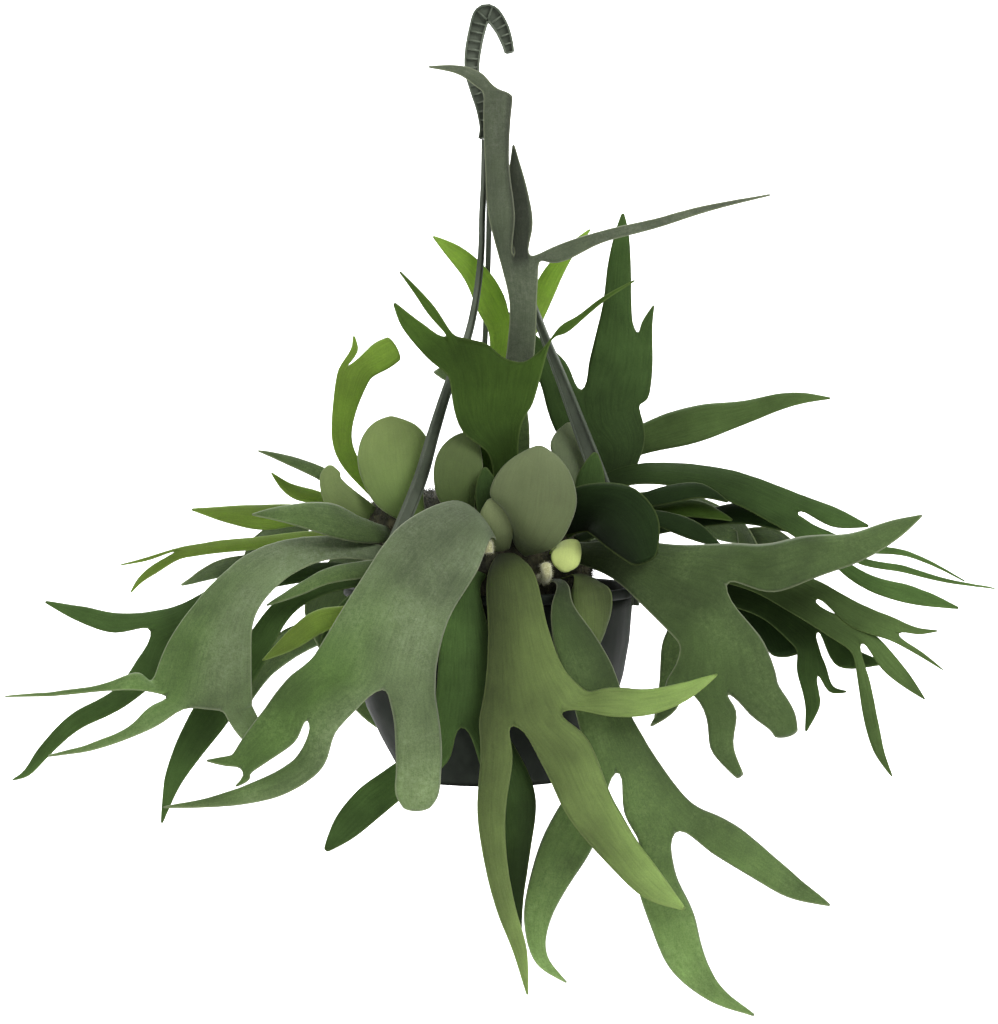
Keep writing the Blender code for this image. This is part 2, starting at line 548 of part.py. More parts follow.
def crozier(name, points, mat, collection):
    middle = Vector(RHIZOME_CENTRE)
    first = Vector(points[0])
    away = (first - middle).normalized()
    seat = middle + away * (rhizome_radius(away) + 0.7)
    path = [seat] + [Vector(p) for p in points[1:]]
    curve = bpy.data.curves.new(name, "CURVE")
    curve.dimensions = "3D"
    curve.resolution_u = 4
    curve.bevel_depth = 2.2 * MM
    curve.bevel_resolution = 2
    curve.use_fill_caps = True
    spline = curve.splines.new("NURBS")
    spline.points.add(len(path) - 1)
    for point, place, size in zip(spline.points, path, (1.0, 1.1, 1.3, 1.5)):
        point.co = (place.x * MM, place.y * MM, (place.z - DROP) * MM, 1.0)
        point.radius = size
    spline.use_endpoint_u = True
    spline.order_u = 3
    obj = bpy.data.objects.new(name, curve)
    obj.data.materials.append(mat)
    collection.objects.link(obj)
    return obj


def frond_materials():
    grey = material("frond_grey_green", (0.15, 0.20, 0.10), 0.75)
    deep = material("frond_deep_green", (0.05, 0.09, 0.03), 0.7)
    light = material("frond_yellow_green", (0.24, 0.33, 0.08), 0.65)
    return {"grey": grey, "deep": deep, "light": light}


FROND_COLOURS = {
    "deep": ("frond_front_shadow", "frond_right_hollow", "frond_right_fold", "frond_left_dark",
             "frond_left_under", "frond_left_inner", "frond_right_tall", "frond_right_arch",
             "frond_centre_bowl"),
    "light": ("frond_front_right", "frond_centre_light", "frond_left_back", "frond_left_small",
              "frond_left_light", "frond_left_forked", "frond_left_young", "frond_right_wavy"),
}


def main():
    clear_scene()
    parts = new_collection("staghorn_fern")
    cutters = new_collection("cutters")
    fronds = frond_materials()
    shield = material("shield_frond", (0.25, 0.31, 0.14), 0.7)
    bark = material("rhizome_fibre", (0.10, 0.08, 0.05), 0.9)
    mix = material("potting_mix", (0.05, 0.045, 0.03), 0.95)
    pot_plastic = material("pot_plastic", (0.045, 0.05, 0.042), 0.5)
    hanger_plastic = material("hanger_plastic", (0.06, 0.07, 0.055), 0.5)
    crozier_felt = material("crozier_felt", (0.4, 0.42, 0.25), 0.8)
    pot(pot_plastic, parts, cutters)
    potting_mix(mix, parts)
    rhizome(bark, parts)
    for name, (face, lobe) in FRONDS.items():
        group = next((key for key, names in FROND_COLOURS.items() if name in names), "grey")
        bow = BOWL_RIM if name == "frond_centre_bowl" else FORK_BOW
        blade(name, face, lobe, FROND_THICKNESS, -0.08, 2, fronds[group], parts, fork_bow=bow)
    for name, (face, leaf_columns, cup, stations) in SHIELDS.items():
        blade(name, face, (stations, ()), SHIELD_THICKNESS, cup, leaf_columns, shield, parts)
    for name, points in CROZIERS.items():
        crozier(name, points, crozier_felt, parts)
    hanger_hook(hanger_plastic, parts)
    for side in STRAP_ANGLES:
        hanger_strap(side, hanger_plastic, parts)


main()
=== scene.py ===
import math

import bmesh
import bpy
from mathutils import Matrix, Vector


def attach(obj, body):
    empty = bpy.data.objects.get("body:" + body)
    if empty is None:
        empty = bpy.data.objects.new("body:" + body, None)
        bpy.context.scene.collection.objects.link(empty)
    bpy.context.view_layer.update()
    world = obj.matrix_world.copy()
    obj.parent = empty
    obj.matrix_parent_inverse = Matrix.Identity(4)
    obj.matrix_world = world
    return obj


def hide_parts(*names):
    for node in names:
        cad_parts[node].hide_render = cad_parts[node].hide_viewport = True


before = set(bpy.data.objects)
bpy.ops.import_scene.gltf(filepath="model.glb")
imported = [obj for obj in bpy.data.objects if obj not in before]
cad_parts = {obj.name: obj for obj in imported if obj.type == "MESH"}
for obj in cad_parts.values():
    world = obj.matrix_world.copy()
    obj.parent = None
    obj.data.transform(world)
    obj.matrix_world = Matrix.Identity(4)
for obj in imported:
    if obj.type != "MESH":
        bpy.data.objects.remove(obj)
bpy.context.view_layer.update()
mm = 0.001
rimDrop = 323.0  # hook seat above the rim of the pot, mm


# one node with its inputs and settings; a node given as an input stands for its first output
def add(tree, kind, inputs=(), **settings):
    node = tree.nodes.new(kind)
    for key, value in settings.items():
        setattr(node, key, value)
    for key, value in dict(inputs).items():
        for source in value if isinstance(value, list) else [value]:
            if isinstance(source, bpy.types.Node):
                source = source.outputs[0]
            if isinstance(source, bpy.types.NodeSocket):
                tree.links.new(source, node.inputs[key])
            else:
                node.inputs[key].default_value = source
    return node


def maths(tree, operation, *values, clamp=False):
    return add(tree, "ShaderNodeMath", dict(enumerate(values)), operation=operation, use_clamp=clamp)


# material helpers
def newMaterial(name):
    material = bpy.data.materials.new(name)
    material.use_nodes = True
    material.node_tree.nodes.clear()
    return material, material.node_tree


def noise(tree, vector, scale, detail=4.0, rough=0.55, distortion=0.0):
    return add(tree, "ShaderNodeTexNoise", {
        "Vector": vector, "Scale": scale, "Detail": detail, "Roughness": rough,
        "Distortion": distortion}).outputs["Fac"]


def ramp(tree, factor, *stops):
    node = add(tree, "ShaderNodeValToRGB", {"Fac": factor})
    elements = node.color_ramp.elements
    elements.remove(elements[-1])
    elements[0].position, elements[0].color = stops[0][0], (*stops[0][1], 1.0)
    for place, colour in stops[1:]:
        elements.new(place).color = (*colour, 1.0)
    return node.outputs["Color"]


def mixColour(tree, factor, first, second, blend="MIX"):
    inputs = {0: factor, 6: first, 7: second}
    return add(tree, "ShaderNodeMix", inputs, data_type="RGBA", blend_type=blend).outputs[2]


def multiplied(tree, colour, factors):
    return mixColour(tree, 1.0, colour, (*factors, 1.0), "MULTIPLY")


# darkens and lightens a colour by a pattern; dark and light are (place on the pattern, brightness)
def shaded(tree, colour, pattern, amount, dark, light):
    tones = ramp(tree, pattern, *((place, (value, value, value)) for place, value in (dark, light)))
    return mixColour(tree, amount, colour, tones, "MULTIPLY")


def remap(tree, value, low, high, newLow, newHigh):
    return add(tree, "ShaderNodeMapRange", {
        "Value": value, "From Min": low, "From Max": high, "To Min": newLow,
        "To Max": newHigh}).outputs["Result"]


def bump(tree, height, strength, distance):
    return add(tree, "ShaderNodeBump", {"Height": height, "Strength": strength, "Distance": distance})


def objectPlace(tree):
    return add(tree, "ShaderNodeTexCoord").outputs["Object"]


def stretched(tree, vector, scale):
    return add(tree, "ShaderNodeMapping", {"Vector": vector, "Scale": scale})


def surface(tree, shader):
    add(tree, "ShaderNodeOutputMaterial", {"Surface": shader})


# leaves
leafPattern = {
    "patch": 20.0, "bloom": 31.0, "felt": 430.0, "grain": 1300.0, "veins": (34.0, 5.0, 1.0),
    "pale": (1.68, 1.54, 1.85), "through": (1.5, 1.8, 0.45), "rough": (0.58, 0.78), "relief": 0.0007,
}
# the edge colour, mixed in by the rim amount near the margin, is a painted highlight along the leaf rim
leafFinish = {
    "grey": {"mottle": 0.34, "felt": 0.95, "grain": 0.6, "translucent": 0.14, "edge": (0.34, 0.38, 0.22),
             "rim": 0.42, "sheen": 0.1, "specular": 0.14, "veins": 0.4},
    "deep": {"mottle": 0.34, "felt": 0.22, "grain": 0.35, "translucent": 0.12, "edge": (0.16, 0.22, 0.07),
             "rim": 0.3, "sheen": 0.0, "specular": 0.07, "veins": 0.5},
    "light": {"mottle": 0.26, "felt": 0.2, "grain": 0.35, "translucent": 0.34, "edge": (0.32, 0.40, 0.13),
              "rim": 0.35, "sheen": 0.05, "specular": 0.18, "veins": 0.5},
    "shield": {"mottle": 0.2, "felt": 0.12, "grain": 0.2, "translucent": 0.22, "edge": (0.33, 0.38, 0.17),
               "rim": 0.4, "sheen": 0.12, "specular": 0.16, "veins": 0.2},
}


def leafMaterial(name, look):
    material, tree = newMaterial(name)
    place = objectPlace(tree)
    # the tone attribute holds each leaf's colour with its painted light and shade
    tone = add(tree, "ShaderNodeAttribute", attribute_name="leafTone").outputs["Color"]
    rimNear = add(tree, "ShaderNodeAttribute", attribute_name="rimNear").outputs["Fac"]
    chart = add(tree, "ShaderNodeUVMap", uv_map="leafChart")
    patch = noise(tree, place, leafPattern["patch"], 3.0, 0.55)  # cloudy, a few centimetres across
    bloom = noise(tree, place, leafPattern["bloom"], 4.0, 0.6, 0.4)  # felt thick or rubbed thin
    felt = noise(tree, place, leafPattern["felt"], 5.0, 0.8)  # star hairs in specks
    grain = noise(tree, place, leafPattern["grain"], 3.0, 0.8)
    fan = stretched(tree, chart, leafPattern["veins"])
    veins = noise(tree, fan, 1.0, 4.0, 0.6, 0.5)
    mottle = look["mottle"]
    shade = shaded(tree, tone, patch, 1.0, (0.3, 1.0 - mottle), (0.7, 1.0 + mottle))
    shade = shaded(tree, shade, veins, look["veins"], (0.32, 0.72), (0.64, 1.18))
    thick = remap(tree, bloom, 0.38, 0.62, 0.05, 1.0)
    specks = remap(tree, felt, 0.40, 0.66, 0.0, look["felt"])
    pale = multiplied(tree, shade, leafPattern["pale"])
    shade = mixColour(tree, maths(tree, "MULTIPLY", specks, thick), shade, pale)
    shade = shaded(tree, shade, grain, look["grain"], (0.35, 0.7), (0.65, 1.25))
    # painted highlight: the pale edge colour is mixed in near the leaf margin
    shade = mixColour(tree, remap(tree, rimNear, 0.66, 0.97, 0.0, look["rim"]), shade, (*look["edge"], 1.0))
    height = maths(tree, "ADD", maths(tree, "MULTIPLY", veins, 0.8), maths(tree, "MULTIPLY", felt, 0.4))
    body = add(tree, "ShaderNodeBsdfPrincipled", {
        "Base Color": shade, "Roughness": remap(tree, felt, 0.3, 0.7, *leafPattern["rough"]),
        "Normal": bump(tree, height, 0.6, leafPattern["relief"]), "Sheen Weight": look["sheen"],
        "Sheen Roughness": 0.5, "Specular IOR Level": look["specular"]})
    lit = multiplied(tree, shade, leafPattern["through"])
    through = add(tree, "ShaderNodeBsdfTranslucent", {"Color": lit})
    surface(tree, add(tree, "ShaderNodeMixShader", {0: look["translucent"], 1: body, 2: through}))
    return material


plasticLook = {
    "pot": {"dark": (0.005, 0.007, 0.005), "pale": (0.014, 0.018, 0.013), "dust": (0.07, 0.08, 0.065),
            "rough": (0.5, 0.7), "specular": 0.05},
    "hanger": {"dark": (0.040, 0.050, 0.034), "pale": (0.105, 0.125, 0.088), "dust": (0.20, 0.22, 0.18),
               "rough": (0.38, 0.6), "specular": 0.3},
}


def plasticMaterial(name, look):
    material, tree = newMaterial(name)
    place = objectPlace(tree)
    broad = noise(tree, place, 18.0, 4.0, 0.6)
    grain = noise(tree, place, 1500.0, 2.0, 0.6)  # moulded grain
    streak = noise(tree, stretched(tree, place, (60.0, 60.0, 7.0)), 1.0, 4.0, 0.6)
    colour = ramp(tree, broad, (0.3, look["dark"]), (0.72, look["pale"]))
    dust = remap(tree, maths(tree, "MULTIPLY", broad, streak), 0.24, 0.46, 0.0, 0.22)
    surface(tree, add(tree, "ShaderNodeBsdfPrincipled", {
        "Base Color": mixColour(tree, dust, colour, (*look["dust"], 1.0)),
        "Roughness": remap(tree, streak, 0.3, 0.7, *look["rough"]), "Normal": bump(tree, grain, 0.25, 0.0002),
        "Specular IOR Level": look["specular"]}))
    return material


earthLook = {
    "mix": {"dark": (0.012, 0.009, 0.005), "mid": (0.045, 0.033, 0.020), "pale": (0.13, 0.10, 0.065),
            "scale": 240.0, "stretch": (1.0, 1.0, 1.0)},
    "chip": {"dark": (0.030, 0.018, 0.010), "mid": (0.085, 0.052, 0.028), "pale": (0.20, 0.14, 0.085),
             "scale": 160.0, "stretch": (1.0, 1.0, 1.0)},
    # the fibre is a greenish dark brown, darkened further as painted shade under the crown
    "fibre": {"dark": (0.008, 0.008, 0.003), "mid": (0.030, 0.030, 0.012), "pale": (0.10, 0.09, 0.04),
              "scale": 90.0, "stretch": (3.0, 3.0, 0.7)},
}


def earthMaterial(name, look):
    material, tree = newMaterial(name)
    place = stretched(tree, objectPlace(tree), look["stretch"])
    coarse = noise(tree, place, look["scale"], 6.0, 0.65, 0.6)
    fine = noise(tree, place, look["scale"] * 5.0, 3.0, 0.7)
    colour = ramp(tree, coarse, (0.28, look["dark"]), (0.5, look["mid"]), (0.78, look["pale"]))
    surface(tree, add(tree, "ShaderNodeBsdfPrincipled", {
        "Base Color": shaded(tree, colour, fine, 0.5, (0.3, 0.6), (0.7, 1.3)),
        "Roughness": remap(tree, fine, 0.3, 0.7, 0.75, 0.95),
        "Normal": bump(tree, maths(tree, "ADD", coarse, fine), 0.7, 0.0012)}))
    return material


woolLook = {
    "scale": 700.0,
    "tones": ((0.3, (0.20, 0.19, 0.08)), (0.55, (0.42, 0.42, 0.22)), (0.8, (0.66, 0.64, 0.44))),
}


def woolMaterial(name, look):
    material, tree = newMaterial(name)
    tuft = noise(tree, objectPlace(tree), look["scale"], 4.0, 0.75, 1.0)
    surface(tree, add(tree, "ShaderNodeBsdfPrincipled", {
        "Base Color": ramp(tree, tuft, *look["tones"]), "Roughness": remap(tree, tuft, 0.3, 0.7, 0.8, 0.95),
        "Normal": bump(tree, tuft, 0.8, 0.0008), "Sheen Weight": 0.6}))
    return material


finishes = {
    "frond_grey_green": leafMaterial("greyFeltLeaf", leafFinish["grey"]),
    "frond_deep_green": leafMaterial("deepGreenLeaf", leafFinish["deep"]),
    "frond_yellow_green": leafMaterial("backlitLeaf", leafFinish["light"]),
    "shield_frond": leafMaterial("shieldLeaf", leafFinish["shield"]),
    "crozier_felt": woolMaterial("crozierWool", woolLook),
    "rhizome_fibre": earthMaterial("rhizomeFibre", earthLook["fibre"]),
    "potting_mix": earthMaterial("barkMix", earthLook["mix"]),
    "pot_plastic": plasticMaterial("potPlastic", plasticLook["pot"]),
    "hanger_plastic": plasticMaterial("hangerPlastic", plasticLook["hanger"]),
}
chipFinish = earthMaterial("barkChips", earthLook["chip"])
print("materials made")


# shared shape helpers
rhizomeShape = {
    "centre": (0.0, 0.0, 5.0), "axes": (58.0, 52.0, 50.0), "floor": -11.7, "lump": 1.6, "inset": 0.6,
    "rootDepth": 2.5,
    "crowns": (((-85, 0, 45), 26.0, 0.46), ((11, -58, 19), 6.0, 0.40), ((55, 20, 30), 5.0, 0.5)),
    "around": 96, "rings": 60, "firstPolar": 0.02, "polarShare": 0.62,
    "hair": {"Density": 260000.0, "Length": 0.0052, "Radius": 0.00022, "Lean": 1.1, "Seed": 3},
}


def rhizomeRadius(direction):
    ax, ay, az = rhizomeShape["axes"]
    radius = 1.0 / math.sqrt((direction.x / ax) ** 2 + (direction.y / ay) ** 2 + (direction.z / az) ** 2)
    for toward, height, spread in rhizomeShape["crowns"]:
        radius += height * math.exp(-(direction.angle(Vector(toward)) / spread) ** 2)
    return radius


def placed(point):
    return (point[0] * mm, point[1] * mm, (point[2] - rimDrop) * mm)


def newObject(name, data):
    obj = bpy.data.objects.new(name, data)
    bpy.context.scene.collection.objects.link(obj)
    return obj


def setSmooth(mesh, smooth=True):
    mesh.polygons.foreach_set("use_smooth", [smooth] * len(mesh.polygons))


def meshObject(name, points, faces, material=None):
    mesh = bpy.data.meshes.new(name)
    mesh.from_pydata([placed(point) for point in points], [], faces)
    mesh.update()
    if material:
        mesh.materials.append(material)
    setSmooth(mesh)
    return newObject(name, mesh)


def orient(obj):
    shell = bmesh.new()
    shell.from_mesh(obj.data)
    bmesh.ops.remove_doubles(shell, verts=shell.verts, dist=1e-6)
    bmesh.ops.recalc_face_normals(shell, faces=shell.faces)
    shell.to_mesh(obj.data)
    shell.free()
    return obj


def bake(obj):
    graph = bpy.context.evaluated_depsgraph_get()
    mesh = bpy.data.meshes.new_from_object(obj.evaluated_get(graph), depsgraph=graph)
    obj.modifiers.clear()
    old = obj.data
    obj.data = mesh
    bpy.data.meshes.remove(old)
    mesh.name = obj.name
    setSmooth(mesh)
    return obj


def copyOf(obj, name):
    return newObject(name, obj.data.copy())


def ride(obj, node=None):
    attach(obj, "root")
    if node:
        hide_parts(node)


def curveBetween(first, second, startSlope, endSlope, t):
    t2, t3 = t * t, t * t * t
    return (first * (2 * t3 - 3 * t2 + 1) + startSlope * (t3 - 2 * t2 + t)
            + second * (3 * t2 - 2 * t3) + endSlope * (t3 - t2))


# smooth path through the points, with countFor(first, second) steps between two of them
def smoothPath(points, countFor):
    path = []
    for index in range(len(points) - 1):
        first, second = points[index], points[index + 1]
        before, after = points[max(index - 1, 0)], points[min(index + 2, len(points) - 1)]
        start, end = (second - before) * 0.5, (after - first) * 0.5
        count = countFor(first, second)
        path += [curveBetween(first, second, start, end, step / count) for step in range(count)]
    return path + [points[-1]]


# faces of a closed tube whose rings of points follow each other
def tubeFaces(rings, size):
    faces = []
    for ring in range(rings - 1):
        for step in range(size):
            a, b = ring * size + step, ring * size + (step + 1) % size
            faces.append((a, b, b + size, a + size))
    return faces + [tuple(reversed(range(size))), tuple(range((rings - 1) * size, rings * size))]


# Geometry Nodes helpers
def newTree(name, **inputs):
    tree = bpy.data.node_groups.new(name, "GeometryNodeTree")
    tree.interface.new_socket("Geometry", in_out="INPUT", socket_type="NodeSocketGeometry")
    for label, kind in inputs.items():
        tree.interface.new_socket(label, in_out="INPUT", socket_type="NodeSocket" + kind)
    tree.interface.new_socket("Geometry", in_out="OUTPUT", socket_type="NodeSocketGeometry")
    return tree, add(tree, "NodeGroupInput").outputs


def endTree(tree, geometry, finish):
    solid = add(tree, "GeometryNodeRealizeInstances", {"Geometry": geometry})
    paint = add(tree, "GeometryNodeSetMaterial", {"Geometry": solid, "Material": finish})
    add(tree, "NodeGroupOutput", {"Geometry": paint})
    return tree


def runTree(obj, tree, values, finish):
    modifier = obj.modifiers.new(tree.name, "NODES")
    modifier.node_group = tree
    ids = {item.name: item.identifier for item in tree.interface.items_tree if item.in_out == "INPUT"}
    for label, value in {**values, "Finish": finish}.items():
        modifier[ids[label]] = value
    return bake(obj)


def pushed(tree, geometry, direction, amount):
    offset = add(tree, "ShaderNodeVectorMath", {0: direction, "Scale": amount}, operation="SCALE")
    return add(tree, "GeometryNodeSetPosition", {"Geometry": geometry, "Offset": offset})


def namedValue(tree, name, kind):
    return add(tree, "GeometryNodeInputNamedAttribute", {"Name": name}, data_type=kind)


# leaf: subdivide, ripple the margin, thicken to a lens edge
def leafTree():
    tree, given = newTree("leafSurface", Thickness="Float", Margin="Float", Ripple="Float",
                          RippleScale="Float", Level="Int", Seed="Float", Finish="Material")
    finer = add(tree, "GeometryNodeSubdivisionSurface", {"Mesh": given["Geometry"], "Level": given["Level"]})
    sides = add(tree, "GeometryNodeInputMeshEdgeNeighbors")
    single = add(tree, "FunctionNodeCompare", {2: sides, 3: 1}, data_type="INT", operation="EQUAL")
    rim = add(tree, "GeometryNodeSeparateGeometry", {"Geometry": finer, "Selection": single}, domain="EDGE")
    near = add(tree, "GeometryNodeProximity", {0: rim}, target_element="EDGES").outputs["Distance"]
    close = maths(tree, "SUBTRACT", 1.0, maths(tree, "DIVIDE", near, given["Margin"], clamp=True))
    keep = add(tree, "GeometryNodeStoreNamedAttribute", {
        "Geometry": finer, "Name": "rimNear", "Value": close}, data_type="FLOAT", domain="POINT")
    saved = namedValue(tree, "rimNear", "FLOAT")
    grain = add(tree, "ShaderNodeTexNoise", {
        "Vector": add(tree, "GeometryNodeInputPosition"), "W": given["Seed"], "Scale": given["RippleScale"],
        "Detail": 2.0}, noise_dimensions="4D")
    size = maths(tree, "MULTIPLY", maths(tree, "MULTIPLY_ADD", saved, 1.4, 0.6), given["Ripple"])
    normal = add(tree, "GeometryNodeInputNormal")
    rippled = pushed(tree, keep, normal, maths(tree, "MULTIPLY", size, maths(tree, "SUBTRACT", grain, 0.5)))
    body = maths(tree, "SUBTRACT", 1.0, maths(tree, "POWER", saved, 4.0))
    skins = []
    for share in (0.5, -0.5):
        half = maths(tree, "MULTIPLY", given["Thickness"], share)
        skins.append(pushed(tree, rippled, normal, maths(tree, "MULTIPLY", half, body)))
    under = add(tree, "GeometryNodeFlipFaces", {"Mesh": skins[1]})
    both = add(tree, "GeometryNodeJoinGeometry", {"Geometry": [under, skins[0]]})
    weld = add(tree, "GeometryNodeMergeByDistance", {"Geometry": both, "Distance": 0.000001})
    return endTree(tree, weld, given["Finish"])


# short hairs on a surface, used by the croziers and the rhizome
def hairTree():
    tree, given = newTree("shortHair", Density="Float", Length="Float", Radius="Float", Lean="Float",
                          Seed="Int", Finish="Material")
    scatter = add(tree, "GeometryNodeDistributePointsOnFaces", {
        "Mesh": given["Geometry"], "Density": given["Density"], "Seed": given["Seed"]})
    strand = add(tree, "GeometryNodeMeshCone", {
        "Vertices": 3, "Side Segments": 2, "Radius Top": 0.00002, "Radius Bottom": given["Radius"],
        "Depth": given["Length"]})
    back = maths(tree, "MULTIPLY", given["Lean"], -1.0)
    low = add(tree, "ShaderNodeCombineXYZ", {"X": back, "Y": back})
    high = add(tree, "ShaderNodeCombineXYZ", {"X": given["Lean"], "Y": given["Lean"]})
    tilt = add(tree, "FunctionNodeRandomValue", {0: low, 1: high, "Seed": given["Seed"]},
               data_type="FLOAT_VECTOR")
    turn = add(tree, "FunctionNodeRotateEuler", {"Rotation": scatter.outputs["Rotation"], "Rotate By": tilt},
               space="LOCAL")
    grown = add(tree, "FunctionNodeRandomValue", {2: 0.5, 3: 1.1, "Seed": given["Seed"]}).outputs[1]
    hairs = add(tree, "GeometryNodeInstanceOnPoints", {
        "Points": scatter, "Instance": strand, "Rotation": turn, "Scale": grown})
    return endTree(tree, hairs, given["Finish"])


# flat rough chips on the top of the mix
def chipTree():
    tree, given = newTree("barkChips", Density="Float", Size="Float", Seed="Int", Top="Float",
                          Finish="Material")
    height = add(tree, "ShaderNodeSeparateXYZ", {0: add(tree, "GeometryNodeInputPosition")}).outputs["Z"]
    above = add(tree, "FunctionNodeCompare", {0: height, 1: given["Top"]}, operation="GREATER_THAN")
    scatter = add(tree, "GeometryNodeDistributePointsOnFaces", {
        "Mesh": given["Geometry"], "Selection": above, "Density": given["Density"], "Seed": given["Seed"]})
    block = add(tree, "GeometryNodeMeshCube", {
        "Size": (1.0, 0.55, 0.3), "Vertices X": 3, "Vertices Y": 3, "Vertices Z": 3})
    rough = add(tree, "ShaderNodeTexNoise", {"Vector": add(tree, "GeometryNodeInputPosition"), "Scale": 2.4})
    shift = add(tree, "ShaderNodeVectorMath", {
        0: rough.outputs["Color"], 1: (0.5, 0.5, 0.35), 2: (-0.25, -0.25, -0.17)}, operation="MULTIPLY_ADD")
    chip = add(tree, "GeometryNodeSetPosition", {"Geometry": block, "Offset": shift})
    spin = add(tree, "FunctionNodeRandomValue", {
        0: (-0.35, -0.35, 0.0), 1: (0.35, 0.35, 6.28), "Seed": given["Seed"]}, data_type="FLOAT_VECTOR")
    grown = add(tree, "FunctionNodeRandomValue", {2: 0.5, 3: 1.4, "Seed": given["Seed"]}).outputs[1]
    size = maths(tree, "MULTIPLY", grown, given["Size"])
    chips = add(tree, "GeometryNodeInstanceOnPoints", {
        "Points": scatter, "Instance": chip, "Rotation": spin, "Scale": size})
    return endTree(tree, chips, given["Finish"])


# even points along a path, a bar across the rails at each
def ribTree():
    tree, given = newTree("ladderRibs", Gap="Float", Rib="Float", Depth="Float", Finish="Material")
    path = add(tree, "GeometryNodeMeshToCurve", {"Mesh": given["Geometry"]})
    even = add(tree, "GeometryNodeResampleCurve", {"Curve": path, "Length": given["Gap"]}, mode="LENGTH")
    spots = add(tree, "GeometryNodeCurveToPoints", {"Curve": even}, mode="EVALUATED")
    reach = namedValue(tree, "ribReach", "FLOAT_VECTOR")
    across = add(tree, "FunctionNodeAlignRotationToVector", {"Vector": reach}, axis="X")
    ahead = add(tree, "FunctionNodeAlignRotationToVector", {
        "Rotation": across, "Vector": spots.outputs["Tangent"]}, axis="Z", pivot_axis="X")
    width = add(tree, "ShaderNodeVectorMath", {0: reach}, operation="LENGTH").outputs["Value"]
    size = add(tree, "ShaderNodeCombineXYZ", {
        "X": maths(tree, "MULTIPLY", width, 2.0), "Y": given["Depth"], "Z": given["Rib"]})
    bars = add(tree, "GeometryNodeInstanceOnPoints", {
        "Points": spots, "Instance": add(tree, "GeometryNodeMeshCube"), "Rotation": ahead, "Scale": size})
    return endTree(tree, bars, given["Finish"])


leafSurface = leafTree()
shortHair = hairTree()
barkChips = chipTree()
ladderRibs = ribTree()
print("geometry trees made")


# lobes: a row of points across each station, with the forks starting side by side on the last row
def isGap(fork):
    return isinstance(fork, float)


def gapColumns(gap):
    return max(2, round(gap / 4.0))


def marksOf(lobe, leafColumns):
    forks = lobe[1]
    if not forks:
        return [i / leafColumns for i in range(leafColumns + 1)]
    widths = [fork if isGap(fork) else fork[0][0][3] for fork in forks]
    marks, start = [0.0], 0.0
    for fork, width in zip(forks, widths):
        columns = gapColumns(fork) if isGap(fork) else 0
        inner = [i / columns for i in range(columns + 1)] if columns else marksOf(fork, leafColumns)
        marks += [(start + mark * width) / sum(widths) for mark in inner[1:]]
        start += width
    return marks


# bow is the rise of an end row: one value, or (place across, rise) pairs
def endRise(bow, u):
    if not isinstance(bow, tuple):
        return bow * (1.0 - u * u)
    for (u0, r0), (u1, r1) in zip(bow, bow[1:]):
        if u <= u1:
            t = (u - u0) / (u1 - u0)
            return r0 + (r1 - r0) * t * t * (3.0 - 2.0 * t)
    return bow[-1][1]


def layRow(centre, along, face, width, marks, cup, bow, ripple, phase):
    side = along.cross(face).normalized()
    normal = side.cross(along).normalized()
    row = []
    for mark in marks:
        u = 2.0 * mark - 1.0
        lift = cup * width * (u * u - 0.4) + ripple * width * u * abs(u) * math.sin(phase)
        row.append(centre + side * (u * width) + normal * lift + along * (endRise(bow, u) * width))
    return row


def middleOf(row):
    return sum(row, Vector()) / len(row)


def slopeAt(keys, middles, place, column, gap):
    point = keys[place][column]
    towards = keys[place + 1][column] - point if place + 1 < len(keys) else None
    away = point - keys[place - 1][column] if place > 0 else None
    if towards is None or away is None:
        only = away if towards is None else towards
        return only * (gap / max(only.length, 0.001))
    near = max((middles[place + 1] - middles[place]).length, 0.5)
    far = max((middles[place] - middles[place - 1]).length, 0.5)
    return (towards * (far / near) + away * (near / far)) / (near + far) * gap


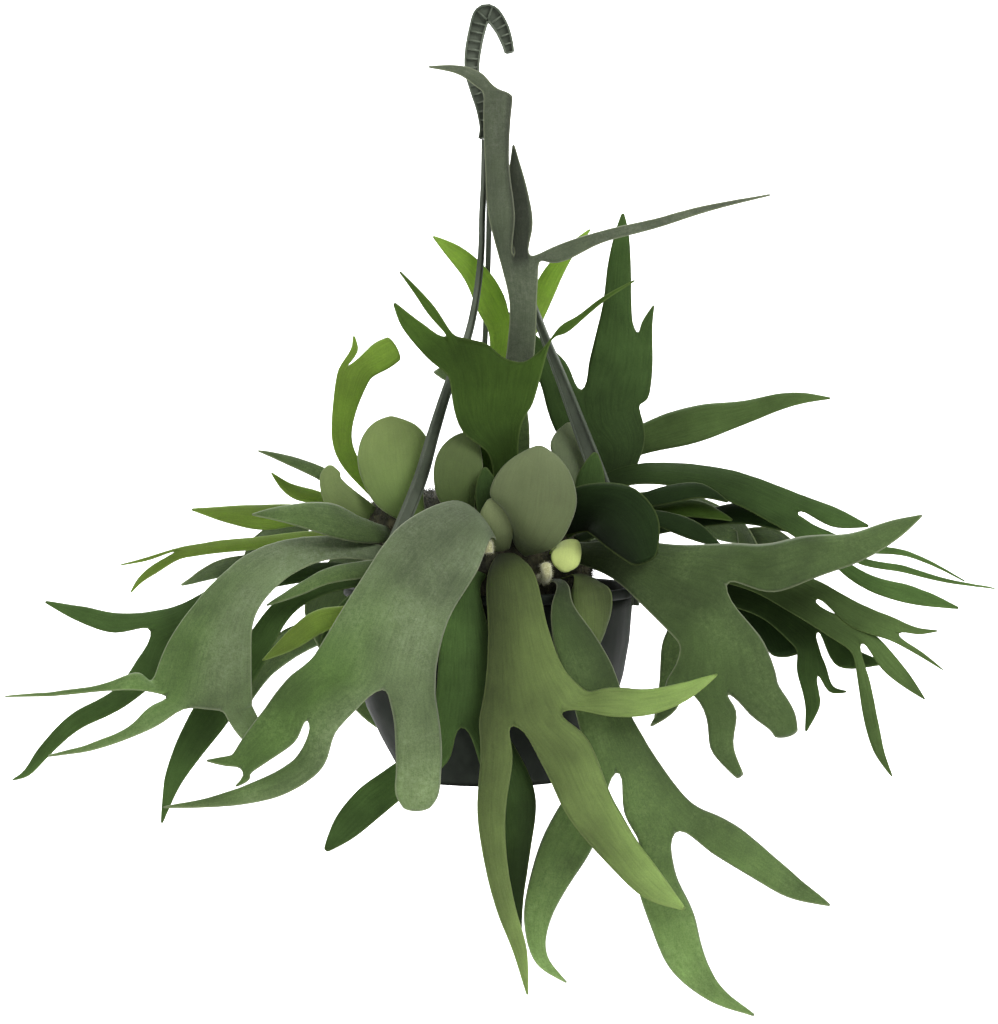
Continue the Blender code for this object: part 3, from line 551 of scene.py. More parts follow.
def growLobe(lobe, face, look, sheet, base=None, span=(0.0, 1.0), travelled=0.0):
    stations, forks = lobe
    marks = marksOf(lobe, look["columns"])
    centres = [Vector(station[:3]) for station in stations]
    keys = [base["before"], base["row"]] if base else []
    previous = middleOf(base["row"]) if base else None
    for index, centre in enumerate(centres):
        last = index + 1 == len(centres)
        back = centres[index - 1] if index else previous
        ahead = None if last else centres[index + 1]
        along = ((ahead or centre) - (back or centre)).normalized()
        bow = (look["bow"] if forks else look["tipBow"]) if last else 0.0
        keys.append(layRow(centre, along, face, stations[index][3], marks, look["cup"], bow, look["ripple"],
                           index * 1.9 + 0.7))
    middles = [middleOf(row) for row in keys]
    start = 1 if base else 0
    ids = base["ids"] if base else sheetRow(sheet, keys[0], marks, span, travelled)
    for index in range(start, len(keys) - 1):
        here, ahead = keys[index], keys[index + 1]
        gap = (middles[index + 1] - middles[index]).length
        steps = max(2, round(gap / look["step"]))
        columns = range(len(marks))
        slopes = [[slopeAt(keys, middles, place, column, gap) for column in columns]
                  for place in (index, index + 1)]
        if base and index == start:
            for column, weight, inward in sinusWeights(base, len(marks)):
                limit = look["reach"] * (here[-1] - here[0]).length
                reach = min((ahead[column] - here[column]).length, limit)
                rounded = inward.normalized() * reach * look["sinus"]
                slopes[0][column] = slopes[0][column].lerp(rounded, weight)
        for step in range(1, steps + 1):
            t = step / steps
            row = [curveBetween(here[c], ahead[c], slopes[0][c], slopes[1][c], t) for c in columns]
            fresh = sheetRow(sheet, row, marks, span, travelled + gap * t)
            sheet["faces"] += zip(ids, ids[1:], fresh[1:], fresh)
            ids = fresh
        travelled += gap
    begin = 0
    for number, fork in enumerate(forks):
        count = gapColumns(fork) if isGap(fork) else len(marksOf(fork, look["columns"])) - 1
        if not isGap(fork):
            part = slice(begin, begin + count + 1)
            width = span[1] - span[0]
            child = {"before": keys[-2][part], "row": keys[-1][part], "ids": ids[part],
                     "left": number > 0, "right": number + 1 < len(forks)}
            childSpan = (span[0] + marks[begin] * width, span[0] + marks[begin + count] * width)
            growLobe(fork, face, look, sheet, child, childSpan, travelled)
        begin += count


# rounds the notch between two lobes: the columns beside it start out across the leaf
def sinusWeights(base, count):
    row, fade = base["row"], (1.0, 0.5, 0.2)
    for step, weight in enumerate(fade[:count // 2]):
        if base["left"]:
            yield step, weight, row[1] - row[0]
        if base["right"]:
            yield count - 1 - step, weight, row[-2] - row[-1]


def sheetRow(sheet, row, marks, span, travelled):
    start = len(sheet["points"])
    sheet["points"] += row
    sheet["chart"] += [(span[0] + mark * (span[1] - span[0]), travelled * 0.01) for mark in marks]
    return list(range(start, len(sheet["points"])))


# fronds
# A lobe is (stations, forks). A station is x, y, z from the middle of the rim and half width, mm.
# Forks stand side by side from the left hand of the growth to the right; a float is an open notch that wide.
frondShapes = {
    "frond_front_left": ((0.1, -0.85, 0.5), (
        ((4, -56, 36, 5), (-8, -76, 43, 15), (-27, -98, 29, 25), (-47, -110, 0, 27),
         (-58, -114, -25, 31), (-62, -115, -37, 34)),
        ((((-42, -117, -55, 13), (-39, -120, -76, 13), (-39, -121, -97, 12.5),
           (-40, -121, -108, 12), (-40, -121, -115, 7.5)), ()),
         (((-86, -116, -46, 20), (-99, -117, -58, 21)),
          ((((-98, -120, -88, 8), (-113, -120, -99.5, 7.5), (-133, -119, -107, 5.8),
             (-156, -117, -112, 3), (-180, -115, -115, 0.6)), ()),
           (((-115, -118, -68.5, 13), (-128, -118, -81, 10.5), (-137, -117, -90.5, 7.5)),
            ((((-134, -117, -98, 2.5), (-140, -116, -103, 0.8)), ()),
             (((-144, -117, -89, 3.5), (-156, -116, -89, 0.6)), ()))))))),
    ),
    "frond_front_right": ((0.0, -0.85, 0.5), (
        ((10, -58, 24, 5), (12, -92, 10, 14), (16, -101, -20, 17), (20, -104, -45, 23), (24, -107, -59, 31)),
        ((((66, -107, -57, 9), (88, -108, -57, 8), (111, -107, -50, 5), (126, -105, -42, 0.8)), ()),
         (((41, -111, -83, 15), (55, -114, -113, 14), (74, -115, -140, 11), (93, -114, -161, 8),
           (108, -111, -172, 1.2)), ()),
         (((4, -110, -86, 9), (1, -114, -116, 8), (3, -115, -143, 6.5), (9, -113, -171, 5.5),
           (17, -109, -196, 4), (21, -105, -221, 0.6)), ())),
    )),
    "frond_front_shadow": ((0.0, -0.9, 0.4), (
        ((-6, -62, 12, 4), (-13, -87, 3, 8), (-13, -92, -30, 15), (-13, -94, -56, 17), (-14, -95, -66, 18)),
        ((((4, -98, -87, 11), (13, -102, -112, 13), (14, -104, -139, 9), (13, -104, -167, 6),
           (17, -102, -193, 0.8)), ()),
         (((-28, -96, -84, 9), (-47, -98, -99, 9), (-69, -100, -116, 10), (-83, -100, -131, 7),
           (-91, -99, -141, 1.5)), ())),
    )),
    "frond_low_right": ((0.1, -0.9, 0.4), (
        ((36, -50, 6, 3), (41, -83, 3.5, 4), (40, -91, -4, 6), (47, -93, -24, 12), (55, -94, -41, 14),
         (64, -95, -68, 15), (72, -95, -90, 19)),
        ((((89, -95, -112, 17), (99, -96, -126, 19)),
          ((((129, -96, -134, 11), (152, -97, -150, 9), (169, -96, -162, 7), (190, -92, -173, 0.8)), ()),
           (((92, -97, -151, 11), (102, -98, -180, 13), (111, -98, -204, 11), (125, -96, -221, 6),
             (148, -92, -235, 0.8)), ()))),
         (((55, -95, -112, 11), (45, -95, -134, 14), (33, -95, -159, 11), (26, -95, -184, 7),
           (29, -92, -204, 4), (43, -89, -217, 0.6)), ())),
    )),
    "frond_right_big": ((-0.1, -0.9, 0.45), (
        ((54, -36, 27, 5), (76, -54, 18, 13), (98, -68, 10, 22), (120, -76, 2, 33)),
        ((((154, -76, 15, 15), (182, -72, 22, 13), (208, -66, 27, 9), (229, -58, 36, 6),
           (245, -50, 43, 0.8)), ()),
         (((128, -86, -30, 25), (129, -89, -45, 31)),
          ((((153, -90, -58, 12), (164, -89, -70, 9), (166, -87, -78, 7)), ()),
           (((130, -92, -66, 9), (129, -92, -83, 7), (140, -89, -101, 2.5)), ()),
           (((101, -89, -61, 5), (90, -86, -73, 0.8)), ())))),
    )),
    "frond_right_outer": ((-0.1, -0.85, 0.5), (
        ((52, -14, 24, 4), (88, -20, 20, 7), (120, -24, 15, 9), (154, -30, 8, 11), (182, -36, -5, 13)),
        ((((208, -38, -14, 8), (231, -38, -23, 7)),
          ((((244, -36, -24, 2.5), (256, -34, -24, 0.6)), ()),
           (((248, -38, -38, 1.6), (259, -38, -46, 0.5)), ()))),
         (((210, -41, -27, 9),),
          ((((228, -41, -42, 6), (239, -40, -53, 4), (249, -37, -63, 0.6)), ()),
           (((213, -43, -51, 3.5), (218, -43, -77, 4), (223, -41, -94, 3), (230, -39, -107, 0.6)), ())))),
    )),
    "frond_right_low": ((-0.1, -0.85, 0.5), (
        ((54, -2, 14, 4), (92, -6, 8, 7), (128, -12, 0, 9), (160, -16, -8, 11), (184, -20, -24, 14)),
        ((((204, -22, -40, 8), (227, -20, -44, 1)), ()),
         (((185, -24, -47, 9),),
          ((((196, -24, -59, 2.5), (205, -23, -60, 0.8)), ()),
           (((186, -25, -65, 5), (182, -22, -83, 0.8)), ())))),
    )),
    "frond_right_hollow": ((0.1, -0.9, 0.3), (
        ((50, 18, 14, 4), (92, 10, 14, 8), (128, 4, 8, 12), (156, 0, -6, 17), (170, -4, -24, 18),
         (172, -6, -40, 9)), ()),
    ),
    "frond_right_arch": ((-0.1, -0.8, 0.6), (
        ((46, 0, 50, 4), (80, -3, 64, 7), (115, -6, 64, 9), (144, -10, 57, 11), (173, -14, 44, 13)),
        ((((199, -16, 40, 7), (218, -16, 35, 1)), ()),
         (((193, -18, 26, 8),),
          ((((212, -18, 23, 3), (238, -17, 20, 2.2), (256, -16, 13, 1.4), (274, -14, 3, 0.5)), ()),
           (((211, -20, 16, 2.5), (236, -20, 11, 2.5), (262, -19, 4, 1.6), (291, -17, -1, 0.5)), ()),
           (((214, -21, 5, 5), (246, -21, -5, 6), (270, -18, -12, 1)), ())))),
    )),
    "frond_right_upper": ((0.0, -0.9, 0.45), (
        ((40, 24, 46, 4), (64, 28, 70, 6), (88, 29, 83, 9), (117, 30, 92, 12), (150, 28, 100, 7.5),
         (181, 24, 108, 4), (199, 22, 108, 0.8)), ()),
    ),
    "frond_right_tall": ((0.1, -1.0, 0.1), (
        ((44, 4, 44, 4), (71, 6, 64, 11), (73, 8, 82, 19), (64, 8.5, 93, 25), (63, 9, 104, 30)),
        ((((38, 12, 122, 10), (25, 15, 137, 7.5), (16, 16, 149, 4), (10, 16, 158, 0.8)), ()),
         (((76, 11, 126, 19), (78, 11, 142, 17)),
          ((((74, 10, 162, 8.5), (75, 9, 184, 7), (76.5, 7, 204, 4.2), (77, 6, 215, 1)), ()),
           (((91, 9, 151, 3.5), (95, 7, 162, 0.6)), ())))),
    )),
    "frond_centre_tall": ((0.0, -1.0, 0.1), (
        ((0, -20, 58, 4), (5, -23, 80, 6), (12, -24, 105, 8), (18, -22, 139, 8), (19, -20, 165, 8),
         (17, -18, 187, 11)),
        ((((7, -17, 211, 7.5), (4, -16, 246, 7), (4, -15, 270, 8), (5, -15, 283, 8.5)),
          ((((-6, -15, 291, 4.5), (-16, -14, 296.5, 3), (-35, -13, 298.5, 0.6)), ()),
           5.0)),
         (((16.5, -12.5, 208, 8.5), (15.5, -11, 229, 6), (13.5, -11, 254, 0.8)), ()),
         (((34, -20, 190, 4.5), (63, -24, 201, 3.5), (92, -26, 208, 3), (123, -26, 217, 2),
           (160, -24, 225, 0.6)), ())),
    )),
    "frond_centre_light": ((0.0, -1.0, 0.05), (
        ((4, 6, 56, 4), (6, 3, 84, 6), (7, 3, 108, 7), (9, 4, 132, 9), (12, 4, 144, 13)),
        ((((2, 4, 160, 9), (-9, 5, 181, 7), (-21, 6, 193, 5), (-33, 8, 202, 0.8)), ()),
         (((29, 5, 165, 6.5), (38, 5, 183, 5.5), (48, 6, 196, 3), (58, 8, 206, 0.8)), ())),
    )),
    "frond_centre_bowl": ((0.0, -1.0, 0.1), (
        ((9, -34, 50, 5), (9, -38, 68, 7.5), (7, -44.5, 83, 9.5), (1.5, -46, 94, 18), (1.5, -47, 107, 23),
         (3, -47.5, 122, 26), (1, -48, 138, 34)),
        ((((-40, -50, 146, 6), (-47, -50, 153, 4.5), (-54, -49, 163, 1)), ()),
         (((-33, -49, 159, 3), (-41.5, -48, 170, 1.8), (-51, -46, 181, 0.6)), ()),
         30.0,
         (((41, -50, 148, 3), (50, -50, 154, 1.8), (62, -48, 164, 1.5), (82, -45, 176, 0.6)), ())),
    )),
    "frond_left_back": ((0.1, -1.0, 0.1), (
        ((-80, 14, 58, 3), (-87, 26, 83, 6), (-85, 30, 104, 7.5), (-80, 30, 122, 10)),
        ((((-79, 30, 136, 2.5), (-80, 30, 144, 0.8)), ()),
         (((-65, 30, 132, 9), (-56, 30, 137, 8)), ())),
    )),
    "frond_left_thin": ((0.0, -0.8, 0.6), (
        ((-88, -3, 51, 2.5), (-99, -8, 66, 4.5), (-116, -9, 73, 3.5), (-134, -9, 78, 0.6)), ()),
    ),
    "frond_left_small": ((0.0, -0.8, 0.6), (
        ((-90, 2, 50, 3), (-102, 4, 51, 4.5), (-111, 5, 53, 5), (-119, 5, 57, 3.5), (-127, 5, 65, 0.6)), ()),
    ),
    "frond_left_light": ((0.0, -0.85, 0.55), (
        ((-68, 16, 26, 3), (-90, 16, 36, 6), (-111, 14, 40, 7), (-133, 12, 39, 9), (-149, 12, 40, 6.5),
         (-174, 12, 43, 0.8)), ()),
    ),
    "frond_left_broad": ((0.0, -0.85, 0.55), (
        ((-54, -24, 30, 5), (-72, -42, 35, 10), (-88, -59, 41, 11.5), (-113, -64, 45, 6.5),
         (-134, -62, 44, 0.6)), ()),
    ),
    "frond_left_forked": ((0.0, -0.8, 0.6), (
        ((-59, -8, 20, 3), (-95, -6, 28, 4.5), (-132, -4, 25, 4.5), (-154, -4, 23, 4.5), (-180, -5, 19, 4)),
        ((((-194, -5, 10, 3.5), (-203, -5, 3, 2), (-208, -5, -4, 0.6)), ()),
         (((-197, -6, 16, 1.5), (-214, -6, 12, 0.6)), ())),
    )),
    "frond_left_big": ((-0.1, -0.85, 0.5), (
        ((-50, -36, 18, 4), (-94, -53, 25, 8), (-123, -62, 17, 13), (-146, -72, -5, 17),
         (-157, -78, -31, 25), (-162, -80, -55, 30)),
        ((((-140, -81, -66, 8), (-132, -84, -79, 6.5), (-126, -85, -88, 2)), ()),
         9.0,
         (((-186, -82, -66, 7), (-202, -82, -77, 3.5), (-222, -80, -85, 2.5), (-248, -76, -91, 0.8)), ()),
         (((-196, -80, -48, 6), (-215, -78, -52, 2.5), (-244, -74, -56, 1.6), (-273, -70, -58, 0.6)), ())),
    )),
    "frond_left_dark": ((-0.1, -0.85, 0.5), (
        ((-56, -20, 10, 3.5), (-100, -29, 10, 6), (-143, -36, 2, 8), (-171, -40, -16, 11),
         (-188, -42, -23, 14)),
        ((((-194, -43, -43, 9), (-212, -44, -62, 6.5), (-238, -44, -76, 5.5), (-257, -43, -95, 4),
           (-265, -42, -105, 2.5), (-273, -40, -109, 0.6)), ()),
         (((-213, -41, -19, 6.5), (-233, -39, -14, 5), (-254, -36, -7, 1)), ())),
    )),
    "frond_left_under": ((0.0, -0.9, 0.4), (
        ((-54, -26, 1, 3), (-80, -42, 6, 5), (-113, -52, -6, 6), (-138, -58, -41, 9), (-158, -62, -69, 11),
         (-170, -63, -88, 8.5), (-180, -62, -108, 5), (-186, -60, -131, 0.8)), ()),
    ),
    "frond_left_strap": ((0.0, -0.8, 0.6), (
        ((-32, -52, 14, 3), (-52, -70, 16, 5), (-70, -73, 14, 6), (-89, -71, 11, 5.5), (-108, -68, 2, 4),
         (-126, -64, -7, 0.8)), ()),
    ),
    "frond_left_young": ((0.0, -0.9, 0.4), (
        ((-26, -56, 14, 4), (-50, -84, 4, 4), (-72, -92, -8, 5), (-96, -92, -14, 7), (-111, -91, -25, 5.5),
         (-127, -88, -36, 0.6)), ()),
    ),
    "frond_left_inner": ((0.1, -0.9, 0.3), (
        ((-30, -56, 5, 3), (-52, -77, 6, 5), (-78, -84, -11, 9), (-88, -84, -33, 8), (-84, -82, -56, 1)), ()),
    ),
    "frond_right_wavy": ((0.3, -0.9, 0.2), (
        ((45, -39, 6, 3), (54, -68, 8, 7), (57, -80, 0, 11), (58, -81, -12, 11), (58, -80, -24, 6.5),
         (56, -78, -38, 0.8)), ()),
    ),
    "frond_right_fold": ((0.2, -0.9, 0.3), (
        ((42, -36, 38, 4), (54, -54, 47, 14), (68, -66, 46, 19), (80, -72, 34, 18), (87, -75, 19, 8)), ()),
    ),
    "frond_back_centre": ((0.0, 0.85, 0.5), (
        ((4, 50, 24, 5), (6, 82, 22, 12), (8, 104, -4, 17), (8, 110, -36, 22)),
        ((((30, 112, -66, 12), (40, 110, -96, 8), (42, 106, -116, 1)), ()),
         (((-16, 112, -68, 13), (-26, 110, -94, 9), (-22, 106, -118, 1)), ())),
    )),
    "frond_back_left": ((-0.3, 0.8, 0.5), (
        ((-34, 40, 24, 5), (-62, 74, 26, 12), (-84, 94, 4, 17), (-96, 100, -24, 21)),
        ((((-88, 102, -54, 11), (-72, 98, -84, 7), (-58, 94, -100, 1)), ()),
         (((-122, 98, -42, 12), (-142, 92, -62, 8), (-150, 86, -84, 1)), ())),
    )),
    "frond_back_right": ((0.3, 0.8, 0.5), (
        ((36, 38, 24, 5), (66, 70, 26, 12), (92, 88, 8, 17), (112, 94, -14, 21)),
        ((((142, 90, -22, 12), (168, 82, -22, 8), (186, 74, -14, 1)), ()),
         (((116, 98, -44, 12), (110, 98, -70, 8), (100, 94, -88, 1)), ())),
    )),
    "frond_back_upper": ((0.0, 0.9, -0.3), (
        ((8, 34, 44, 5), (12, 52, 70, 11), (8, 66, 94, 15), (0, 78, 112, 18)),
        ((((-22, 88, 122, 8), (-34, 98, 122, 1)), ()),
         (((14, 92, 128, 9), (22, 108, 132, 1)), ())),
    )),
    "frond_back_arch_left": ((-0.4, 0.7, 0.6), (
        ((-50, 30, 30, 4), (-82, 56, 44, 9), (-112, 74, 36, 12), (-136, 84, 16, 15)),
        ((((-146, 88, -8, 8), (-150, 88, -32, 1)), ()),
         (((-164, 84, 4, 8), (-186, 80, -6, 1)), ())),
    )),
    "frond_back_arch_right": ((0.4, 0.7, 0.6), (
        ((50, 28, 32, 4), (84, 50, 46, 9), (116, 64, 44, 12), (142, 70, 30, 15)),
        ((((170, 66, 24, 8), (192, 60, 12, 1)), ()),
         (((158, 76, 8, 8), (166, 76, -14, 1)), ())),
    )),
}

# tones at the root and at the tip of each group; most are darker at the root as painted shade near the crown,
# and the shade tones are near-black painted shade for fronds lying deep in the crown
frondTones = {
    "felt": ((0.100, 0.130, 0.070), (0.094, 0.140, 0.050)),
    "grey": ((0.042, 0.070, 0.019), (0.070, 0.115, 0.033)),
    "stem": ((0.060, 0.080, 0.042), (0.078, 0.094, 0.058)),
    "deep": ((0.024, 0.044, 0.012), (0.034, 0.064, 0.016)),
    "shade": ((0.010, 0.018, 0.006), (0.014, 0.030, 0.007)),
    "bright": ((0.080, 0.112, 0.030), (0.190, 0.260, 0.082)),
    "fresh": ((0.120, 0.180, 0.026), (0.150, 0.220, 0.034)),
    "bowl": ((0.022, 0.042, 0.008), (0.042, 0.082, 0.011)),
}
# tones, finish and the fronds that have them; the fronds at the back take the usual look
usualLook = ("grey", "frond_grey_green")
frondGroups = (
    ("felt", "frond_grey_green", "front_left left_big"),
    ("grey", "frond_grey_green", "low_right right_big"),
    ("stem", "frond_grey_green", "centre_tall"),
    ("grey", "frond_deep_green", "right_outer right_upper"),
    ("deep", "frond_deep_green", "front_shadow right_tall right_arch right_low"),
    ("deep", "frond_deep_green", "left_dark left_under left_inner"),
    ("shade", "frond_deep_green", "right_hollow right_fold"),
    ("bowl", "frond_deep_green", "centre_bowl"),
    ("bright", "frond_yellow_green", "front_right right_wavy"),
    ("fresh", "frond_yellow_green", "centre_light left_back left_small left_light left_forked left_young"),
)
frondLook = {"frond_" + name: (tone, slot) for tone, slot, names in frondGroups for name in names.split()}
# painted light and shade: brightness at the root, at the tips, along the first edge and along the last edge
plainTint = (1.0, 1.0, 1.0, 1.0)
paintedFrondLight = {
    "frond_front_left": (1.05, 1.05, 1.12, 0.9), "frond_front_right": (0.5, 1.5, 1.35, 0.5),
    "frond_front_shadow": (1.9, 0.35, 0.6, 2.2), "frond_low_right": (0.3, 1.55, 0.95, 1.6),
    "frond_right_big": (0.7, 1.0, 1.0, 0.8), "frond_right_tall": (0.65, 1.35, 1.0, 1.0),
    "frond_right_arch": (0.45, 2.6, 1.0, 0.8), "frond_right_wavy": (0.3, 0.7, 0.6, 1.4),
    "frond_right_fold": (0.9, 0.5, 1.7, 0.3), "frond_right_outer": (0.6, 1.0, 1.0, 0.9),
    "frond_left_big": (1.25, 1.35, 1.0, 1.0), "frond_left_under": (1.4, 1.5, 1.0, 1.0),
    "frond_left_dark": (1.2, 1.7, 1.0, 1.0), "frond_centre_light": (1.3, 1.45, 1.0, 1.0),
    "frond_back_arch_right": (0.5, 0.8, 1.0, 1.0), "frond_back_arch_left": (0.7, 0.9, 1.0, 1.0),
}
# a darker, greener colour that takes over across the leaf and along it, with the start and reach of each fade
greenEdge = {"frond_front_left": (0.062, 0.112, 0.026), "frond_left_big": (0.085, 0.145, 0.040)}
greenFade = {"across": (0.35, 0.35), "along": (0.3, 0.25)}
# one lobe turned from the light: from and to across, start along, brightness
darkLobe = {"frond_centre_tall": (0.36, 0.78, 0.5, 0.36)}
leafForm = {"ripple": 0.0, "bow": 0.3, "tipBow": 0.2, "sinus": 0.9, "reach": 1.5}
frondForm = {**leafForm, "columns": 6, "step": 7.0, "cup": -0.14, "thickness": 0.0012, "margin": 0.0032,
             "wave": 0.0014, "waveScale": 45.0}
shieldForm = {**leafForm, "step": 4.0, "thickness": 0.0014, "margin": 0.0026, "wave": 0.0006,
              "waveScale": 40.0}
# rim of the open blade in the middle: a hump at its left, its lowest point right of the middle
bowlRim = ((-1.0, -0.15), (-0.72, 0.26), (-0.6, 0.26), (-0.1, 0.12), (0.2, -0.22), (0.47, -0.33),
           (0.75, -0.2), (0.88, -0.1), (1.0, 0.04))
frondExtras = {
    "frond_right_wavy": {"ripple": 0.34, "step": 2.5}, "frond_right_hollow": {"cup": 0.2},
    "frond_right_fold": {"cup": 0.2}, "frond_centre_bowl": {"cup": 0.12, "bow": bowlRim},
}


# starts the lobe just inside the rhizome
def rooted(lobe):
    (first, *others), forks = lobe
    middle = Vector(rhizomeShape["centre"])
    direction = (Vector(first[:3]) - middle).normalized()
    centre = middle + direction * (rhizomeRadius(direction) - rhizomeShape["rootDepth"])
    return ((*centre, first[3]), *others), forks


def fadeIn(value, limits):
    start, reach = limits
    return min(1.0, max(0.0, (value - start) / reach))


# u runs across the leaf from its first edge, t along it from the root
def leafColour(name, tones, u, t):
    root, tip, first, last = paintedFrondLight.get(name, plainTint)
    mixed = Vector(tones[0]).lerp(Vector(tones[1]), t)
    # the tint paints light and shade on the frond, brighter or darker at its root, tips and edges
    mixed *= (root + (tip - root) * t) * (first + (last - first) * u)
    if name in darkLobe:
        low, high, start, dim = darkLobe[name]
        if low <= u <= high and t >= start:
            mixed *= dim
    if name in greenEdge:
        amount = fadeIn(u, greenFade["across"]) * fadeIn(t, greenFade["along"])
        mixed = mixed.lerp(Vector(greenEdge[name]), amount)
    return (*mixed, 1.0)


def leafPiece(name, face, lobe, look, tones, slotName, seed, node=None):
    sheet = {"points": [], "faces": [], "chart": []}
    growLobe(rooted(lobe), Vector(face).normalized(), look, sheet)
    obj = meshObject(name + "_leaf", sheet["points"], sheet["faces"])
    chart = obj.data.uv_layers.new(name="leafChart")
    for loop in obj.data.loops:
        chart.data[loop.index].uv = sheet["chart"][loop.vertex_index]
    length = max(v for _, v in sheet["chart"])
    # each point's colour includes the painted light and shade from leafColour
    tone = obj.data.color_attributes.new("leafTone", "FLOAT_COLOR", "POINT")
    for index, (u, v) in enumerate(sheet["chart"]):
        tone.data[index].color = leafColour(name, tones, u, min(1.0, v / length))
    values = {"Thickness": look["thickness"], "Margin": look["margin"], "Ripple": look["wave"],
              "RippleScale": look["waveScale"], "Level": 1, "Seed": float(seed)}
    runTree(obj, leafSurface, values, finishes[slotName])
    ride(obj, node)


for seed, (name, (face, lobe)) in enumerate(frondShapes.items()):
    toneName, slotName = frondLook.get(name, usualLook)
    look = {**frondForm, **frondExtras.get(name, {})}
    leafPiece(name, face, lobe, look, frondTones[toneName], slotName, seed, name)
print("fronds made:", len(frondShapes))


# face, columns, cup, then the stations of each shield frond
shieldShapes = {
    "shield_left": ((-0.1, -1.0, 0.2), 16, -0.25, (
        (-46, -30, 42, 5), (-52, -26, 54, 15), (-55, -22, 70, 21), (-56, -18, 84, 20), (-57, -16, 92, 15),
        (-57, -15, 96.5, 8), (-57, -14.5, 98, 2.5))),
    "shield_centre": ((0.0, -1.0, 0.2), 16, -0.2, (
        (-16, -40, 44, 5), (-19, -42, 57, 12), (-18, -42, 70, 14), (-15, -40, 81, 11), (-12, -38, 87, 6),
        (-11, -37.5, 89.5, 2))),
    "shield_round": ((0.0, -0.9, 0.4), 24, -0.35, (
        (17, -54, 28, 8), (21, -68, 37, 20), (23.5, -74, 50, 24.5), (25.5, -73, 64, 22.5),
        (27, -70, 74, 16.5), (27.5, -67, 79.5, 10), (27.5, -65.5, 82.5, 3.5))),
    "shield_young": ((0.1, -0.9, 0.4), 16, -0.3, (
        (44, -42, 26, 4), (44, -60, 27, 7.5), (43, -69, 21, 8.5), (42, -71, 15.5, 6.5),
        (41.5, -71, 12.5, 2))),
    "shield_behind": ((0.0, -1.0, 0.1), 16, -0.2, (
        (34, -14, 52, 5), (46, -12, 70, 11), (47, -8, 84, 12), (46, -5, 91, 7), (46, -4, 94, 2))),
    "shield_left_crown": ((0.0, -1.0, 0.3), 16, -0.3, (
        (-84, -14, 50, 5), (-91, -20, 58, 8), (-92, -19, 66, 6), (-92, -18, 70, 2))),
}
shieldTones = {
    "shield_left": ((0.100, 0.155, 0.042), (0.205, 0.265, 0.090)),
    "shield_centre": ((0.070, 0.110, 0.028), (0.115, 0.155, 0.055)),
    "shield_round": ((0.098, 0.125, 0.049), (0.145, 0.178, 0.082)),
    "shield_young": ((0.420, 0.500, 0.170), (0.500, 0.570, 0.200)),
    "shield_behind": ((0.110, 0.140, 0.075), (0.165, 0.200, 0.110)),
    "shield_left_crown": ((0.120, 0.165, 0.055), (0.170, 0.220, 0.080)),
}

for seed, (name, (face, columns, cup, stations)) in enumerate(shieldShapes.items(), 50):
    look = {**shieldForm, "columns": columns, "cup": cup}
    leafPiece(name, face, (stations, ()), look, shieldTones[name], "shield_frond", seed, name)
print("shields made:", len(shieldShapes))


# small young leaves that fill the crown between the named fronds; their dark tones are painted shade deep in
# the crown
undergrowth = {
    "under_right_one": ("shade", (0.0, -0.85, 0.5), (
        (50, -8, 36, 3), (86, -14, 49, 4.5), (105, -16, 54, 6.5), (122, -17, 56, 5), (137, -17, 49, 0.8))),
    "under_right_two": ("shade", (0.0, -0.85, 0.5), (
        (50, -18, 28, 3), (92, -24, 41, 5), (115, -27, 34, 6.5), (134, -28, 23, 0.8))),
    "under_right_three": ("bowl", (0.0, -0.85, 0.5), (
        (50, -4, 30, 3), (98, -6, 44, 4), (120, -8, 45, 6), (140, -9, 38, 0.8))),
    "under_right_four": ("shade", (0.0, -0.85, 0.5), (
        (54, 2, 22, 3), (121, -2, 38, 5), (147, -3, 42, 7), (174, -4, 31, 0.8))),
    "under_crown_one": ("bowl", (0.0, -1.0, 0.2), (
        (-4, -34, 50, 5), (-1, -31, 66, 9), (2, -30, 80, 8), (4, -29, 91, 1.5))),
    "under_crown_two": ("deep", (0.0, -1.0, 0.3), (
        (2, -50, 36, 5), (0, -52, 50, 8), (-2, -50, 62, 6), (-3, -48, 70, 1.5))),
    "under_crown_three": ("deep", (0.1, -1.0, 0.3), (
        (52, -30, 36, 4), (56, -38, 52, 9), (58, -38, 66, 8), (60, -36, 78, 1.5))),
}
crownScale = ((6, -58, 24, 6), (4, -63, 36, 9.5), (2, -65, 47, 7.5), (1, -65, 53, 2.5))
crownScaleTones = ((0.14, 0.175, 0.075), (0.20, 0.235, 0.11))

for seed, (name, (toneName, face, stations)) in enumerate(undergrowth.items(), 80):
    leafPiece(name, face, (stations, ()), frondForm, frondTones[toneName], "frond_deep_green", seed)
leafPiece("crown_scale", (0.0, -1.0, 0.2), (crownScale, ()), {**shieldForm, "columns": 12, "cup": -0.25},
          crownScaleTones, "shield_frond", 90)
print("undergrowth made:", len(undergrowth) + 1)


# croziers: curled buds with short wool
crozierShapes = {
    "crozier_upper": ((0, -60, 24), (-1, -69, 28), (-1, -75, 27), (-1, -76, 23)),
    "crozier_lower": ((28, -56, 8), (31, -69, 8), (32, -75, 12), (31, -73, 17)),
}
crozierForm = {
    "sides": 16, "steps": 7, "root": 2.2, "swell": 1.1, "shoulder": 0.85, "tip": 0.55,
    "hair": {"Density": 1600000.0, "Length": 0.0016, "Radius": 0.00007, "Lean": 0.9},
}


